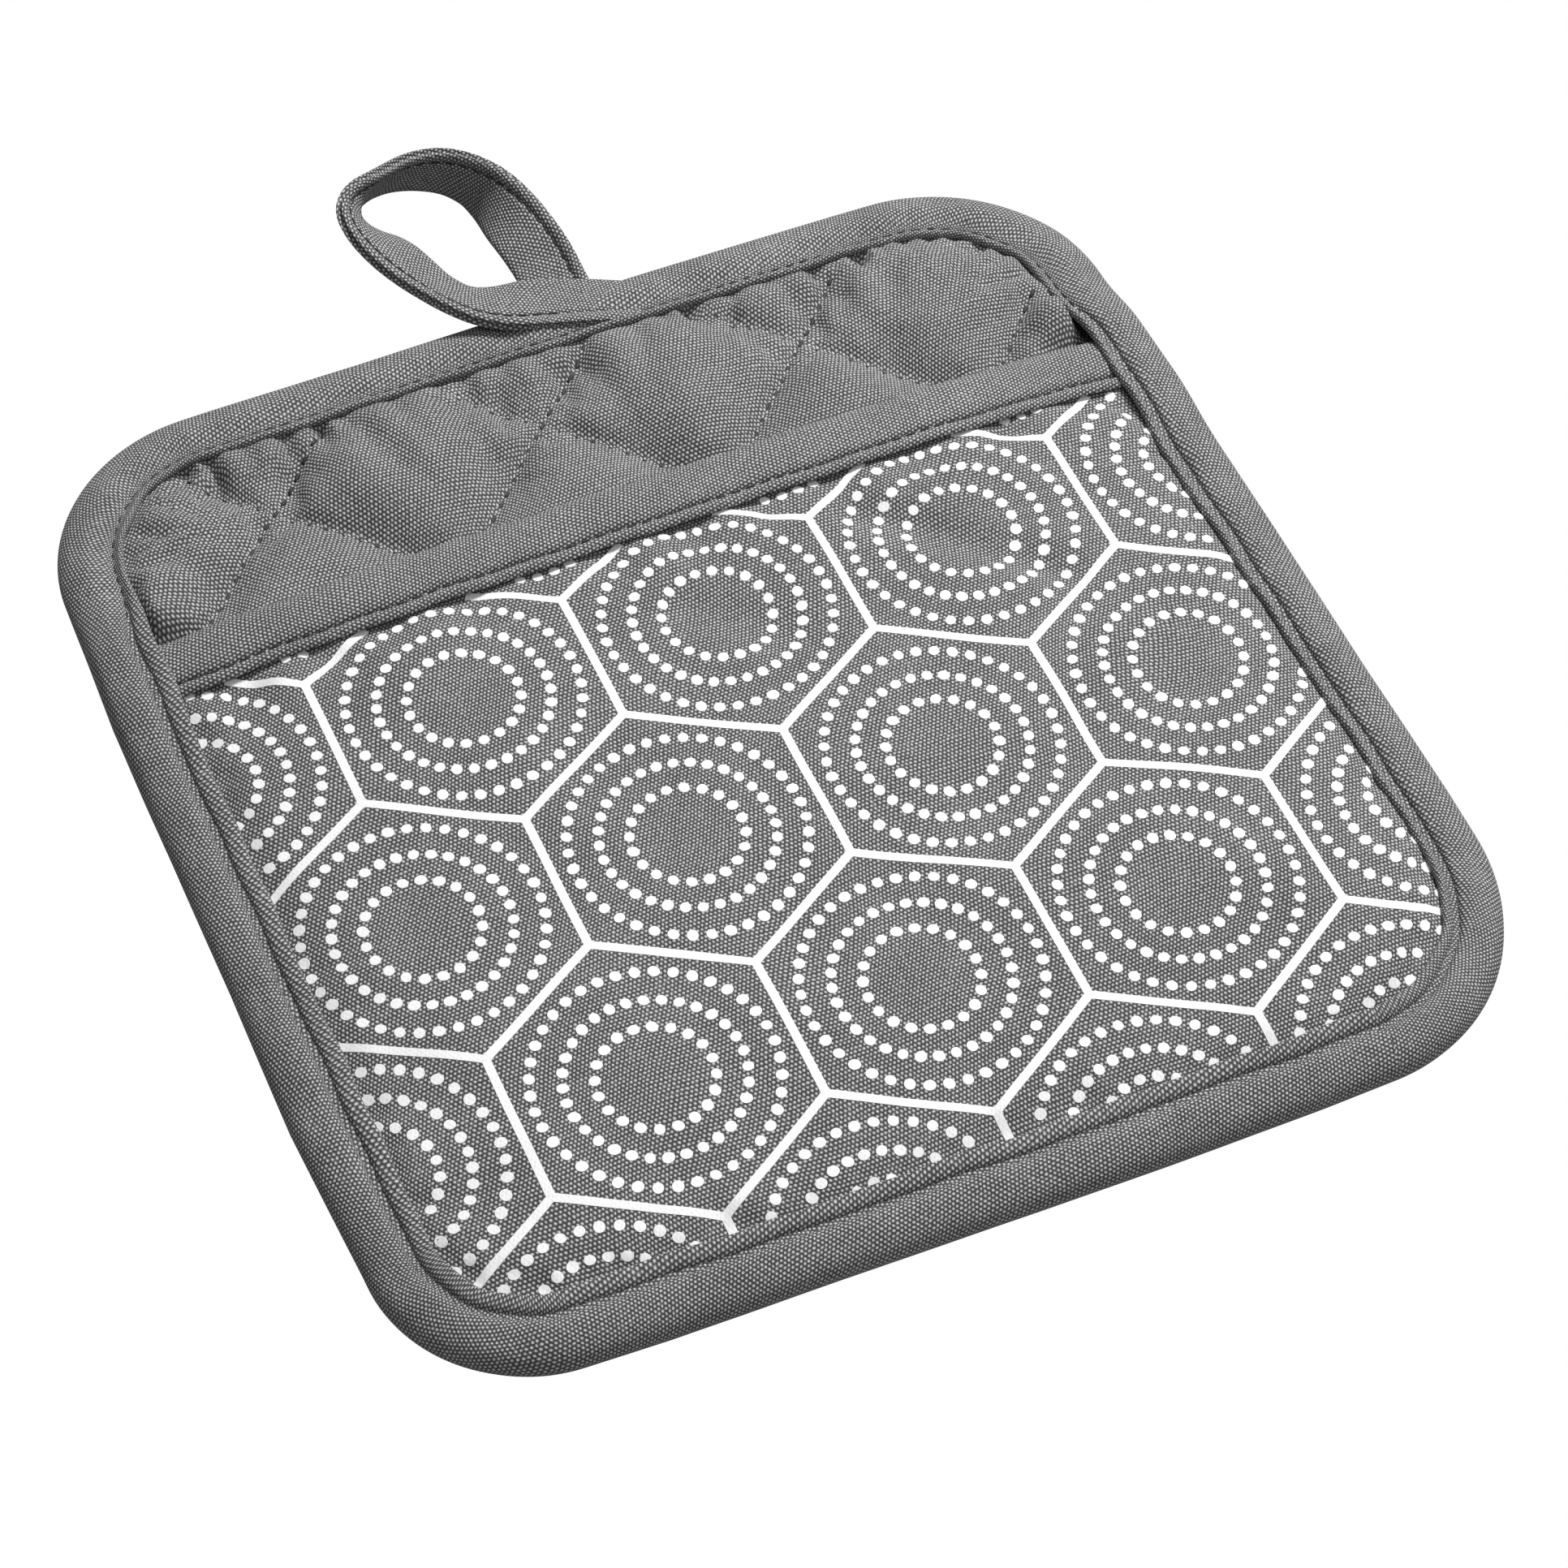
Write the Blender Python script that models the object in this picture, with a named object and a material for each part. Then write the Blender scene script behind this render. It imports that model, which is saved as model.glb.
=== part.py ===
"""Pocket pot holder: a quilted square pad with a bound edge, a padded pocket and a hanging loop.

The pad lies on its back.  +X runs along the pocket's mouth, +Y towards the hanging loop and +Z up.
The origin is on the underside of the pad, in the flat of one quilted cell at its middle.
All sizes are in metres.
"""
import math

import bpy
import bmesh
import numpy as np
from mathutils import Vector
from mathutils.geometry import delaunay_2d_cdt

# Pad outline
PAD_WIDTH = 0.2154
PAD_HEIGHT = 0.2188
TOP_CORNER = 0.035
BOTTOM_LEFT_CORNER = 0.028
BOTTOM_RIGHT_CORNER = 0.038
SIDE_BOW = 0.0014
BOTTOM_SLANT = 0.0037

# Cloth, wadding and the room between layers
CLOTH = 0.0005
GAP = 0.0003
PAD_WADDING_SEAM = 0.0030
PAD_WADDING_UNDER_POCKET = 0.0018
POCKET_WADDING_SEAM = 0.0005
POCKET_WADDING_MIDDLE = 0.0010

# Edge binding: a folded strip sewn round the raw edges
BINDING_WIDTH = 0.0128
BINDING_FOLD = 0.0011
BINDING_SHOULDER = 0.0037
RIDGE_WIDTH = 0.0026
RIDGE_GROOVE = 0.0006
ROLL_EDGE = 0.0008
ROLL_SHOULDER = 0.0028
CORNER_STEPS = 7
SIDE_STEP = 0.017

# Quilting: diamonds sewn through the pad at 45 degrees
QUILT_DIAGONAL = 0.0539
QUILT_SHIFT = -0.0096
QUILT_DROP = 0.0294
CREASE_UNDERSIDE = 0.0010
CREASE_HEIGHT = 0.0062
PUFF_HEIGHT = 0.0092
PUFF_HEIGHT_UNDER_POCKET = 0.0068
SEAM_SLOPE = 0.012
PUFF_ROUNDNESS = 2.2

# Gathers where the quilted front runs into the binding above the pocket
GATHER_PITCH = 0.0096
GATHER_DEPTH = 0.0017
GATHER_REACH = 0.0070
GATHER_ROWS = (0.0030, 0.0080)

# Pocket
POCKET_DROP = 0.0530
MOUTH_SAG = 0.0030
POCKET_RISE = 0.0062
POCKET_SLOPE = 0.055
POCKET_BAND = 0.0130
POCKET_FOLD = 0.0008
POCKET_MESH = 0.0160
MOUTH_STEP = 0.0100
LEVEL_RUN = 0.018

# Hanging loop: the end of the edge binding, turned over on itself
LOOP_TAPE = 0.0131
LOOP_RIM_OFFSET = 0.0005
LOOP_ROOT_WIDTH = 0.4
LOOP_THICKNESS = 0.0024
LOOP_BEAD = 1.3
LOOP_STEPS = 40

TOP_EDGE = PAD_HEIGHT / 2
MOUTH = TOP_EDGE - POCKET_DROP
BAND_LOW = MOUTH - POCKET_BAND
LIFT_TOP = BAND_LOW - MOUTH_SAG - 2 * GAP
CELL = QUILT_DIAGONAL / 4
SHEET_INSET = BINDING_SHOULDER + GAP
PAD_SEAM_BASE = BINDING_FOLD + GAP
POCKET_SEAM = 2 * CLOTH + 2 * GAP + POCKET_WADDING_SEAM
BAND_EXTRA = POCKET_FOLD + GAP

# Middle line of the loop's tape, from the pad round to the tuck behind the top edge.
# Each row: place (x, y past the top edge, z), the way its stitched rim points, share of full thickness.
LOOP_ROUTE = (
    ((0.0206, -0.0064, 0.0073), (-0.20, -0.97, 0.05), 0.35),
    ((0.0104, -0.0044, 0.0076), (-0.34, -0.94, 0.00), 0.60),
    ((0.0009, -0.0014, 0.0080), (-0.34, -0.94, 0.03), 0.90),
    ((-0.0092, 0.0003, 0.0087), (-0.34, -0.89, 0.28), 1.00),
    ((-0.0160, 0.0068, 0.0097), (-0.49, -0.77, 0.40), 1.00),
    ((-0.0211, 0.0146, 0.0125), (-0.69, -0.64, 0.35), 1.00),
    ((-0.0244, 0.0235, 0.0129), (-0.57, -0.52, 0.64), 1.00),
    ((-0.0232, 0.0324, 0.0109), (-0.13, -0.47, 0.87), 1.00),
    ((-0.0166, 0.0387, 0.0087), (0.07, -0.41, 0.91), 1.00),
    ((-0.0074, 0.0394, 0.0076), (0.06, -0.21, 0.97), 1.00),
    ((0.0000, 0.0340, 0.0075), (0.20, -0.04, 0.98), 1.00),
    ((0.0032, 0.0252, 0.0083), (0.61, 0.07, 0.79), 1.00),
    ((0.0047, 0.0166, 0.0087), (0.89, 0.03, 0.46), 1.00),
    ((0.0063, 0.0085, 0.0064), (0.98, -0.12, 0.14), 1.00),
    ((0.0068, 0.0038, 0.0046), (0.98, -0.16, 0.02), 1.00),
    ((0.0070, -0.0022, 0.0037), (0.97, -0.20, 0.00), 1.00),
)

CHAMBRAY = (0.085, 0.085, 0.088, 1.0)
PRINT_GROUND = (0.095, 0.095, 0.098, 1.0)
WADDING = (0.78, 0.76, 0.72, 1.0)


def clear_scene():
    for obj in list(bpy.data.objects):
        bpy.data.objects.remove(obj, do_unlink=True)


def cloth_material(name, colour, roughness):
    material = bpy.data.materials.new(name)
    material.use_nodes = True
    shader = material.node_tree.nodes["Principled BSDF"]
    shader.inputs["Base Color"].default_value = colour
    shader.inputs["Roughness"].default_value = roughness
    shader.inputs["Metallic"].default_value = 0.0
    material.diffuse_color = colour
    return material


def ease(value):
    """0 below 0, 1 above 1 and smooth between."""
    t = min(max(value, 0.0), 1.0)
    return t * t * (3 - 2 * t)


def mix(low, high, share):
    return low + (high - low) * share


# Outline of the pad

def bent(x, y):
    """Bow the sides a little and slant the bottom edge, as the sewn pad has them."""
    u = x / (PAD_WIDTH / 2)
    v = y / (PAD_HEIGHT / 2)
    x += SIDE_BOW * math.copysign(1, u) * ((1 - v * v) * abs(u) ** 3 - abs(u) ** 3)
    y += SIDE_BOW * math.copysign(1, v) * ((1 - u * u) * abs(v) ** 3 - abs(v) ** 3)
    if v < 0:
        y -= BOTTOM_SLANT * u * abs(v)
    return x, y


def side_heights():
    """Heights of the stations on the left and right sides, closer where the pocket's band passes."""
    low = -PAD_HEIGHT / 2 + max(BOTTOM_LEFT_CORNER, BOTTOM_RIGHT_CORNER) + SIDE_STEP / 2
    high = TOP_EDGE - TOP_CORNER
    marks = [BAND_LOW - LEVEL_RUN, BAND_LOW - GAP, MOUTH + GAP]
    if MOUTH + LEVEL_RUN < high - SIDE_STEP / 3:
        marks.append(MOUTH + LEVEL_RUN)
    count = max(2, round((marks[0] - low) / SIDE_STEP))
    plain = [mix(low, marks[0], k / count) for k in range(count)]
    return plain + marks


def outline_stations():
    """Points round the outer edge, counter-clockwise, each with its inward direction."""
    half_w = PAD_WIDTH / 2
    corners = (
        (1, -1, BOTTOM_RIGHT_CORNER, -90),
        (1, 1, TOP_CORNER, 0),
        (-1, 1, TOP_CORNER, 90),
        (-1, -1, BOTTOM_LEFT_CORNER, 180),
    )
    flat = []
    for right, up, radius, start in corners:
        cx = right * (half_w - radius)
        cy = up * (PAD_HEIGHT / 2 - radius)
        for k in range(CORNER_STEPS + 1):
            angle = math.radians(start + 90 * k / CORNER_STEPS)
            flat.append((cx + radius * math.cos(angle), cy + radius * math.sin(angle)))
        if (right, up) == (1, -1):
            flat += [(half_w, y) for y in side_heights()]
        elif (right, up) == (1, 1):
            run = PAD_WIDTH - 2 * TOP_CORNER
            count = max(2, round(run / SIDE_STEP))
            flat += [(half_w - TOP_CORNER - run * k / count, TOP_EDGE) for k in range(1, count)]
        elif (right, up) == (-1, 1):
            flat += [(-half_w, y) for y in reversed(side_heights())]
        else:
            run = PAD_WIDTH - BOTTOM_LEFT_CORNER - BOTTOM_RIGHT_CORNER
            count = max(2, round(run / SIDE_STEP))
            left = -half_w + BOTTOM_LEFT_CORNER
            flat += [(left + run * k / count, -PAD_HEIGHT / 2) for k in range(1, count)]
    points = [Vector(bent(x, y)) for x, y in flat]
    stations = []
    for k, point in enumerate(points):
        ahead = points[(k + 1) % len(points)] - point
        behind = point - points[k - 1]
        along = (ahead.normalized() + behind.normalized()).normalized()
        stations.append((point, Vector((-along.y, along.x))))
    return stations


STATIONS = outline_stations()


def ring(inset):
    """The outline moved inwards."""
    return [point + inward * inset for point, inward in STATIONS]


SEAM_RING = ring(BINDING_WIDTH)


def seam_place(x, y, open_top=False):
    """How far inside the seam line a place lies, and how far round the line its nearest point is.

    The first is 0 on the seam and under the binding.
    """
    best = 1.0
    way = 0.0
    passed = 0.0
    inside = True
    for a, b in zip(SEAM_RING, SEAM_RING[1:] + SEAM_RING[:1]):
        ex, ey = b.x - a.x, b.y - a.y
        px, py = x - a.x, y - a.y
        length = math.hypot(ex, ey)
        if ex * py - ey * px < 0:
            inside = False
        if not open_top or min(a.y, b.y) <= MOUTH:
            t = min(max((px * ex + py * ey) / length ** 2, 0.0), 1.0)
            distance = math.hypot(px - t * ex, py - t * ey)
            if distance < best:
                best = distance
                way = passed + t * length
        passed += length
    return (best if inside else 0.0), way


def seam_distance(x, y, open_top=False):
    return seam_place(x, y, open_top)[0]


# Heights of the layers

def pocket_share(y):
    """1 where the pocket lies on the pad, 0 above its mouth."""
    return 1 - ease((y - MOUTH) / LEVEL_RUN)


def band_share(y):
    """1 under the pocket's bound mouth, 0 away from it."""
    below = ease((y - (BAND_LOW - LEVEL_RUN)) / (LEVEL_RUN - GAP))
    above = 1 - ease((y - MOUTH - GAP) / LEVEL_RUN)
    return min(below, above)


def pad_seam_top(y):
    wadding = mix(PAD_WADDING_SEAM, PAD_WADDING_UNDER_POCKET, pocket_share(y))
    return PAD_SEAM_BASE + 2 * CLOTH + 2 * GAP + wadding


def binding_front(y):
    """Height of the edge binding's upper face, which covers the layers that end in it."""
    pocket = pocket_share(y) * (POCKET_SEAM + GAP) + band_share(y) * 2 * BAND_EXTRA
    return pad_seam_top(y) + pocket + GAP + BINDING_FOLD


def puff(x, y):
    """0 on the quilting lines and 1 in the middle of each diamond."""
    half = QUILT_DIAGONAL / 2
    a = (x - QUILT_SHIFT + y - (TOP_EDGE - QUILT_DROP)) / half
    b = (x - QUILT_SHIFT - y + (TOP_EDGE - QUILT_DROP)) / half
    near = min(abs(a / 2 - round(a / 2)), abs(b / 2 - round(b / 2)))
    return 1 - (1 - 2 * near) ** PUFF_ROUNDNESS


def gather(way, depth, y):
    """How far the front sinks in the folds of the gathered seam: none on the seam itself."""
    fold = math.sin(math.pi * way / GATHER_PITCH) ** 2
    start = ease(depth / GATHER_ROWS[0])
    return GATHER_DEPTH * fold * start * math.exp(-depth / GATHER_REACH) * (1 - pocket_share(y))


def pad_top(x, y):
    depth, way = seam_place(x, y)
    free = ease(depth / SEAM_SLOPE)
    high = mix(PUFF_HEIGHT, PUFF_HEIGHT_UNDER_POCKET, pocket_share(y))
    low = CREASE_HEIGHT - (PUFF_HEIGHT - PUFF_HEIGHT_UNDER_POCKET) / 2 * pocket_share(y)
    return mix(pad_seam_top(y), mix(low, high, puff(x, y)), free) - gather(way, depth, y)


def pad_bottom(x, y):
    """The underside rests flat in each diamond and lifts only at the quilting lines and the seam."""
    free = ease(seam_distance(x, y) / SEAM_SLOPE)
    lift = CREASE_UNDERSIDE if puff(x, y) < 0.5 else 0.0
    return mix(PAD_SEAM_BASE, lift, free)


def pocket_lift(x, y):
    """Share of the pocket's full rise: steep by the seam, level in the middle.

    Along the bound mouth it depends on x alone, so that the band stays straight across its width.
    """
    depth = seam_distance(x, min(y, LIFT_TOP), open_top=True)
    return 1 - (1 - min(depth / POCKET_SLOPE, 1.0)) ** 3


def mouth_sag(x):
    """The mouth draws back in the middle, where it stands off the pad."""
    return MOUTH_SAG * pocket_lift(x, LIFT_TOP)


def pocket_base(x, y):
    seam = PAD_SEAM_BASE + 2 * CLOTH + 3 * GAP + PAD_WADDING_UNDER_POCKET
    seam += BAND_EXTRA * ease((y - LIFT_TOP + LEVEL_RUN) / LEVEL_RUN)
    return seam + POCKET_RISE * pocket_lift(x, y)


def pocket_wadding(x, y):
    return mix(POCKET_WADDING_SEAM, POCKET_WADDING_MIDDLE, pocket_lift(x, y))


def pocket_top(x, y):
    return pocket_base(x, y) + 2 * CLOTH + 2 * GAP + pocket_wadding(x, y)


# Plans: flat triangle nets that every layer of a stack shares

def net(loops, extra, lines, outside=None):
    """Triangles over the outer loop, with the other loops, points and lines kept as edges."""
    scale = 1000.0
    points = []
    edges = []
    for loop in loops:
        first = len(points)
        points += loop
        edges += [(first + k, first + (k + 1) % len(loop)) for k in range(len(loop))]
    for line in lines:
        first = len(points)
        points += line
        edges += [(first + k, first + k + 1) for k in range(len(line) - 1)]
    points += extra
    flat = [Vector((p[0] * scale, p[1] * scale)) for p in points]
    verts, _, faces, *_ = delaunay_2d_cdt(flat, edges, [], 0, 1e-3)
    triangles = []
    for face in faces:
        a, b, c = (verts[k] for k in face)
        area = (b - a).cross(c - a) / 2
        if outside and all(outside(v.x / scale, v.y / scale) for v in (a, b, c)):
            continue
        if abs(area) > 1e-2:
            triangles.append(tuple(face) if area > 0 else tuple(reversed(face)))
    return [(v.x / scale, v.y / scale) for v in verts], triangles


def gather_points():
    """Crests and valleys of the gathers, in rows along the seam above the pocket."""
    found = []
    way = 0.0
    mark = 0.0
    for a, b in zip(SEAM_RING, SEAM_RING[1:] + SEAM_RING[:1]):
        along = (b - a).normalized()
        inward = Vector((-along.y, along.x))
        length = (b - a).length
        while mark < way + length:
            place = a + along * (mark - way)
            rows = [place + inward * depth for depth in GATHER_ROWS]
            if min(row.y for row in rows) > MOUTH + LEVEL_RUN / 3:
                found += [tuple(row) for row in rows]
            mark += GATHER_PITCH / 2
        way += length
    return found


def quilt_points(margin, top_margin):
    """Lattice of quarter diamonds inside the seam line, further in where the front is gathered."""
    found = []
    reach = PAD_HEIGHT
    count = int(reach / CELL) + 1
    for i in range(-count, count + 1):
        for j in range(-count, count + 1):
            x = QUILT_SHIFT + i * CELL
            y = TOP_EDGE - QUILT_DROP + j * CELL
            if seam_distance(x, y) > (top_margin if y > MOUTH else margin):
                found.append((x, y))
    return found


def crease_lines():
    """Quilting lines, each run from seam to seam."""
    lines = []
    reach = int((PAD_WIDTH + PAD_HEIGHT) / QUILT_DIAGONAL) + 2
    for slope in (1, -1):
        for k in range(-reach, reach + 1):
            x0 = QUILT_SHIFT + k * QUILT_DIAGONAL
            y0 = TOP_EDGE - QUILT_DROP
            hits = []
            for a, b in zip(SEAM_RING, SEAM_RING[1:] + SEAM_RING[:1]):
                da = slope * (a.x - x0) - (a.y - y0)
                db = slope * (b.x - x0) - (b.y - y0)
                if da * db < 0:
                    hits.append(a.lerp(b, da / (da - db)))
            if len(hits) == 2 and (hits[0] - hits[1]).length > CELL:
                lines.append([tuple(hits[0]), tuple(hits[1])])
    return lines


def pad_net():
    edge = [tuple(p) for p in ring(SHEET_INSET)]
    seam = [tuple(p) for p in SEAM_RING]
    inner = GATHER_ROWS[-1] + GATHER_PITCH / 4
    points = quilt_points(GATHER_PITCH / 2, inner) + gather_points()
    return net([edge, seam], points, crease_lines())


def mouth_columns():
    """Places across the pocket's mouth, shared by its layers and its binding."""
    end = PAD_WIDTH / 2 - SIDE_BOW - SHEET_INSET
    seam = PAD_WIDTH / 2 - BINDING_WIDTH
    count = round(2 * seam / MOUTH_STEP)
    return [-end] + [-seam + 2 * seam * k / count for k in range(count + 1)] + [end]


def pocket_net():
    columns = mouth_columns()
    top = MOUTH - POCKET_FOLD - 2 * GAP
    low = BAND_LOW - GAP

    def from_left(points):
        """Loop points below the band, begun at the upper left."""
        below = [tuple(p) for p in points if p.y < low - 2 * GAP]
        first = min(range(len(below)), key=lambda k: (below[k][0] > 0, -below[k][1]))
        return below[first:] + below[:first]

    def above_mouth(x, y):
        return y > top - mouth_sag(x) - GAP / 2

    low_row = [(x, low - mouth_sag(x)) for x in columns]
    top_row = [(x, top - mouth_sag(x)) for x in columns]
    outer = from_left(ring(SHEET_INSET)) + [low_row[-1]] + top_row[::-1] + [low_row[0]]
    seam = [low_row[1]] + from_left(SEAM_RING) + [low_row[-2]]
    grid = []
    across = int(PAD_WIDTH / POCKET_MESH / 2) + 1
    down = int(PAD_HEIGHT / POCKET_MESH) + 1
    for j in range(1, down):
        for i in range(-across, across + 1):
            x = (i + 0.5 * (j % 2)) * POCKET_MESH
            y = LIFT_TOP - j * POCKET_MESH * math.sqrt(0.75)
            if seam_distance(x, y) > POCKET_MESH * 0.4:
                grid.append((x, y))
    return net([outer], grid, [seam, low_row], outside=above_mouth)


def stack_sheet(name, plan, bottom, top, material):
    """One closed layer between two height functions over a shared net."""
    points, triangles = plan
    mesh = bmesh.new()
    lower = [mesh.verts.new((x, y, bottom(x, y))) for x, y in points]
    upper = [mesh.verts.new((x, y, top(x, y))) for x, y in points]
    used = {}
    for a, b, c in triangles:
        mesh.faces.new((upper[a], upper[b], upper[c]))
        mesh.faces.new((lower[c], lower[b], lower[a]))
        for edge in ((a, b), (b, c), (c, a)):
            used[edge] = True
    for a, b in used:
        if (b, a) not in used:
            mesh.faces.new((lower[a], lower[b], upper[b], upper[a]))
    loose = [v for v in mesh.verts if not v.link_faces]
    bmesh.ops.delete(mesh, geom=loose, context="VERTS")
    return add_object(name, mesh, material)


def add_object(name, mesh, material):
    bmesh.ops.recalc_face_normals(mesh, faces=mesh.faces)
    data = bpy.data.meshes.new(name)
    mesh.to_mesh(data)
    mesh.free()
    data.shade_smooth()
    data.set_sharp_from_angle(angle=math.radians(50))
    obj = bpy.data.objects.new(name, data)
    bpy.context.collection.objects.link(obj)
    if material:
        data.materials.append(material)
    return obj


def sweep(sections, closed):
    """Skin a list of closed sections; an open sweep gets flat ends."""
    mesh = bmesh.new()
    rings = [[mesh.verts.new(p) for p in section] for section in sections]
    count = len(rings[0])
    pairs = list(zip(rings, rings[1:]))
    if closed:
        pairs.append((rings[-1], rings[0]))
    for a, b in pairs:
        for k in range(count):
            n = (k + 1) % count
            mesh.faces.new((a[k], a[n], b[n], b[k]))
    if not closed:
        mesh.faces.new(list(reversed(rings[0])))
        mesh.faces.new(rings[-1])
    return mesh


# Edge binding and hanging loop

def binding_section(front):
    """Folded strip in section: distance in from the outer edge, and height."""
    middle = front / 2
    inner_front = front - BINDING_FOLD
    return (
        (BINDING_WIDTH, inner_front),
        (BINDING_WIDTH, front - RIDGE_GROOVE),
        (BINDING_WIDTH - RIDGE_WIDTH / 2, front),
        (BINDING_WIDTH - RIDGE_WIDTH, front - RIDGE_GROOVE),
        (BINDING_WIDTH - RIDGE_WIDTH - 2 * RIDGE_GROOVE, front),
        (ROLL_SHOULDER + BINDING_SHOULDER, front),
        (ROLL_SHOULDER, front - ROLL_EDGE),
        (ROLL_EDGE, mix(middle, front, 1 / 2)),
        (0.0, middle),
        (ROLL_EDGE, middle / 2),
        (ROLL_SHOULDER, ROLL_EDGE / 2),
        (ROLL_SHOULDER * 2, 0.0),
        (BINDING_WIDTH, 0.0),
        (BINDING_WIDTH, BINDING_FOLD),
        (BINDING_SHOULDER, BINDING_FOLD),
        (BINDING_SHOULDER, inner_front),
    )


def build_edge_ring():
    sections = []
    for point, inward in STATIONS:
        section = []
        for inset, height in binding_section(binding_front(point.y)):
            place = point + inward * inset
            section.append((place.x, place.y, height))
        sections.append(section)
    return sweep(sections, closed=True)


def smooth_route(rows, steps):
    """Catmull-Rom curve through the rows, read at even steps."""
    ends = [2 * rows[0] - rows[1]] + list(rows) + [2 * rows[-1] - rows[-2]]
    out = []
    for k in range(steps + 1):
        place = k / steps * (len(rows) - 1)
        span = min(int(place), len(rows) - 2)
        t = place - span
        p0, p1, p2, p3 = ends[span:span + 4]
        curve = 2 * p1 + (p2 - p0) * t + (2 * p0 - 5 * p1 + 4 * p2 - p3) * t ** 2
        out.append((curve + (3 * p1 - p0 - 3 * p2 + p3) * t ** 3) / 2)
    return out


def tape_section(share):
    """Folded tape in section: across towards the stitched rim, and through its thickness."""
    fold = LOOP_RIM_OFFSET - LOOP_TAPE / 2 * mix(LOOP_ROOT_WIDTH, 1.0, share)
    rim = LOOP_RIM_OFFSET + LOOP_TAPE / 2
    thick = LOOP_THICKNESS / 2 * share
    bead = thick * LOOP_BEAD
    upper = (
        (fold + thick, thick),
        (rim - RIDGE_WIDTH, thick),
        (rim - RIDGE_WIDTH + RIDGE_GROOVE, thick - RIDGE_GROOVE * share / 2),
        (rim - RIDGE_WIDTH / 2, bead),
    )
    lower = tuple((across, -depth) for across, depth in reversed(upper))
    return ((fold, 0.0),) + upper + ((rim, bead / 2), (rim, -bead / 2)) + lower


def build_loop():
    rows = [np.array(place + rim + (share,)) for place, rim, share in LOOP_ROUTE]
    for row in rows:
        row[1] += TOP_EDGE
    route = smooth_route(rows, LOOP_STEPS)
    sections = []
    for k, row in enumerate(route):
        ahead = route[min(k + 1, LOOP_STEPS)][:3]
        behind = route[max(k - 1, 0)][:3]
        along = Vector(ahead - behind).normalized()
        across = Vector(row[3:6])
        across = (across - along * across.dot(along)).normalized()
        through = along.cross(across)
        middle = Vector(row[:3])
        sections.append([middle + across * a + through * t for a, t in tape_section(row[6])])
    return sweep(sections, closed=False)


def build_edge_binding(material):
    binding = add_object("edge_binding", build_edge_ring(), material)
    loop = add_object("hanging_loop_guide", build_loop(), None)
    loop.hide_render = True
    loop.display_type = "WIRE"
    join = binding.modifiers.new("join_loop", "BOOLEAN")
    join.operation = "UNION"
    join.solver = "EXACT"
    join.object = loop
    return binding


# Pocket binding

def build_pocket_binding(material):
    """Strip folded over the pocket's mouth, its lower edge stitched as a ridge."""
    sections = []
    for x in mouth_columns():
        mouth = MOUTH - mouth_sag(x)
        low = mouth - POCKET_BAND
        face = pocket_top(x, MOUTH) + GAP
        back = pocket_base(x, MOUTH) - GAP
        top = face + POCKET_FOLD
        under = back - POCKET_FOLD
        middle = (top + under) / 2
        soft = POCKET_FOLD / 3
        turn = POCKET_FOLD / 2
        profile = (
            (low, face),
            (low, top - soft),
            (low + RIDGE_WIDTH / 2, top),
            (low + RIDGE_WIDTH, top - soft),
            (low + RIDGE_WIDTH + 2 * RIDGE_GROOVE, top),
            (mouth - POCKET_FOLD - turn, top),
            (mouth - turn, (middle + 3 * top) / 4),
            (mouth, middle),
            (mouth - turn, (middle + 3 * under) / 4),
            (mouth - POCKET_FOLD - turn, under),
            (low, under),
            (low, back),
            (mouth - POCKET_FOLD - GAP, back),
            (mouth - POCKET_FOLD - GAP, face),
        )
        sections.append([(x, y, z) for y, z in profile])
    return add_object("pocket_binding", sweep(sections, closed=False), material)


def build_pad():
    plan = pad_net()
    stack_sheet(
        "pad_back_fabric", plan, pad_bottom,
        lambda x, y: pad_bottom(x, y) + CLOTH,
        cloth_material("back_cloth", CHAMBRAY, 0.92))
    stack_sheet(
        "pad_wadding", plan,
        lambda x, y: pad_bottom(x, y) + CLOTH + GAP,
        lambda x, y: pad_top(x, y) - CLOTH - GAP,
        cloth_material("pad_fill", WADDING, 1.0))
    stack_sheet(
        "pad_front_fabric", plan,
        lambda x, y: pad_top(x, y) - CLOTH, pad_top,
        cloth_material("front_cloth", CHAMBRAY, 0.92))


def build_pocket():
    plan = pocket_net()
    stack_sheet(
        "pocket_lining", plan, pocket_base,
        lambda x, y: pocket_base(x, y) + CLOTH,
        cloth_material("lining_cloth", CHAMBRAY, 0.92))
    stack_sheet(
        "pocket_wadding", plan,
        lambda x, y: pocket_base(x, y) + CLOTH + GAP,
        lambda x, y: pocket_base(x, y) + CLOTH + GAP + pocket_wadding(x, y),
        cloth_material("pocket_fill", WADDING, 1.0))
    stack_sheet(
        "pocket_front", plan,
        lambda x, y: pocket_top(x, y) - CLOTH, pocket_top,
        cloth_material("print_cloth", PRINT_GROUND, 0.9))


def main():
    clear_scene()
    build_pad()
    build_pocket()
    build_pocket_binding(cloth_material("mouth_tape", CHAMBRAY, 0.9))
    build_edge_binding(cloth_material("edge_tape", CHAMBRAY, 0.9))


main()
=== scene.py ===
"""Looks of the pocket pot holder: quilted cloth, bound edges, hanging loop, printed pocket and stitches.

Every piece lies in the space of the CAD solid that it stands for.  Sizes are in metres.
"""
import math

import bpy
import numpy as np
from mathutils import Matrix, Vector


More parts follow.
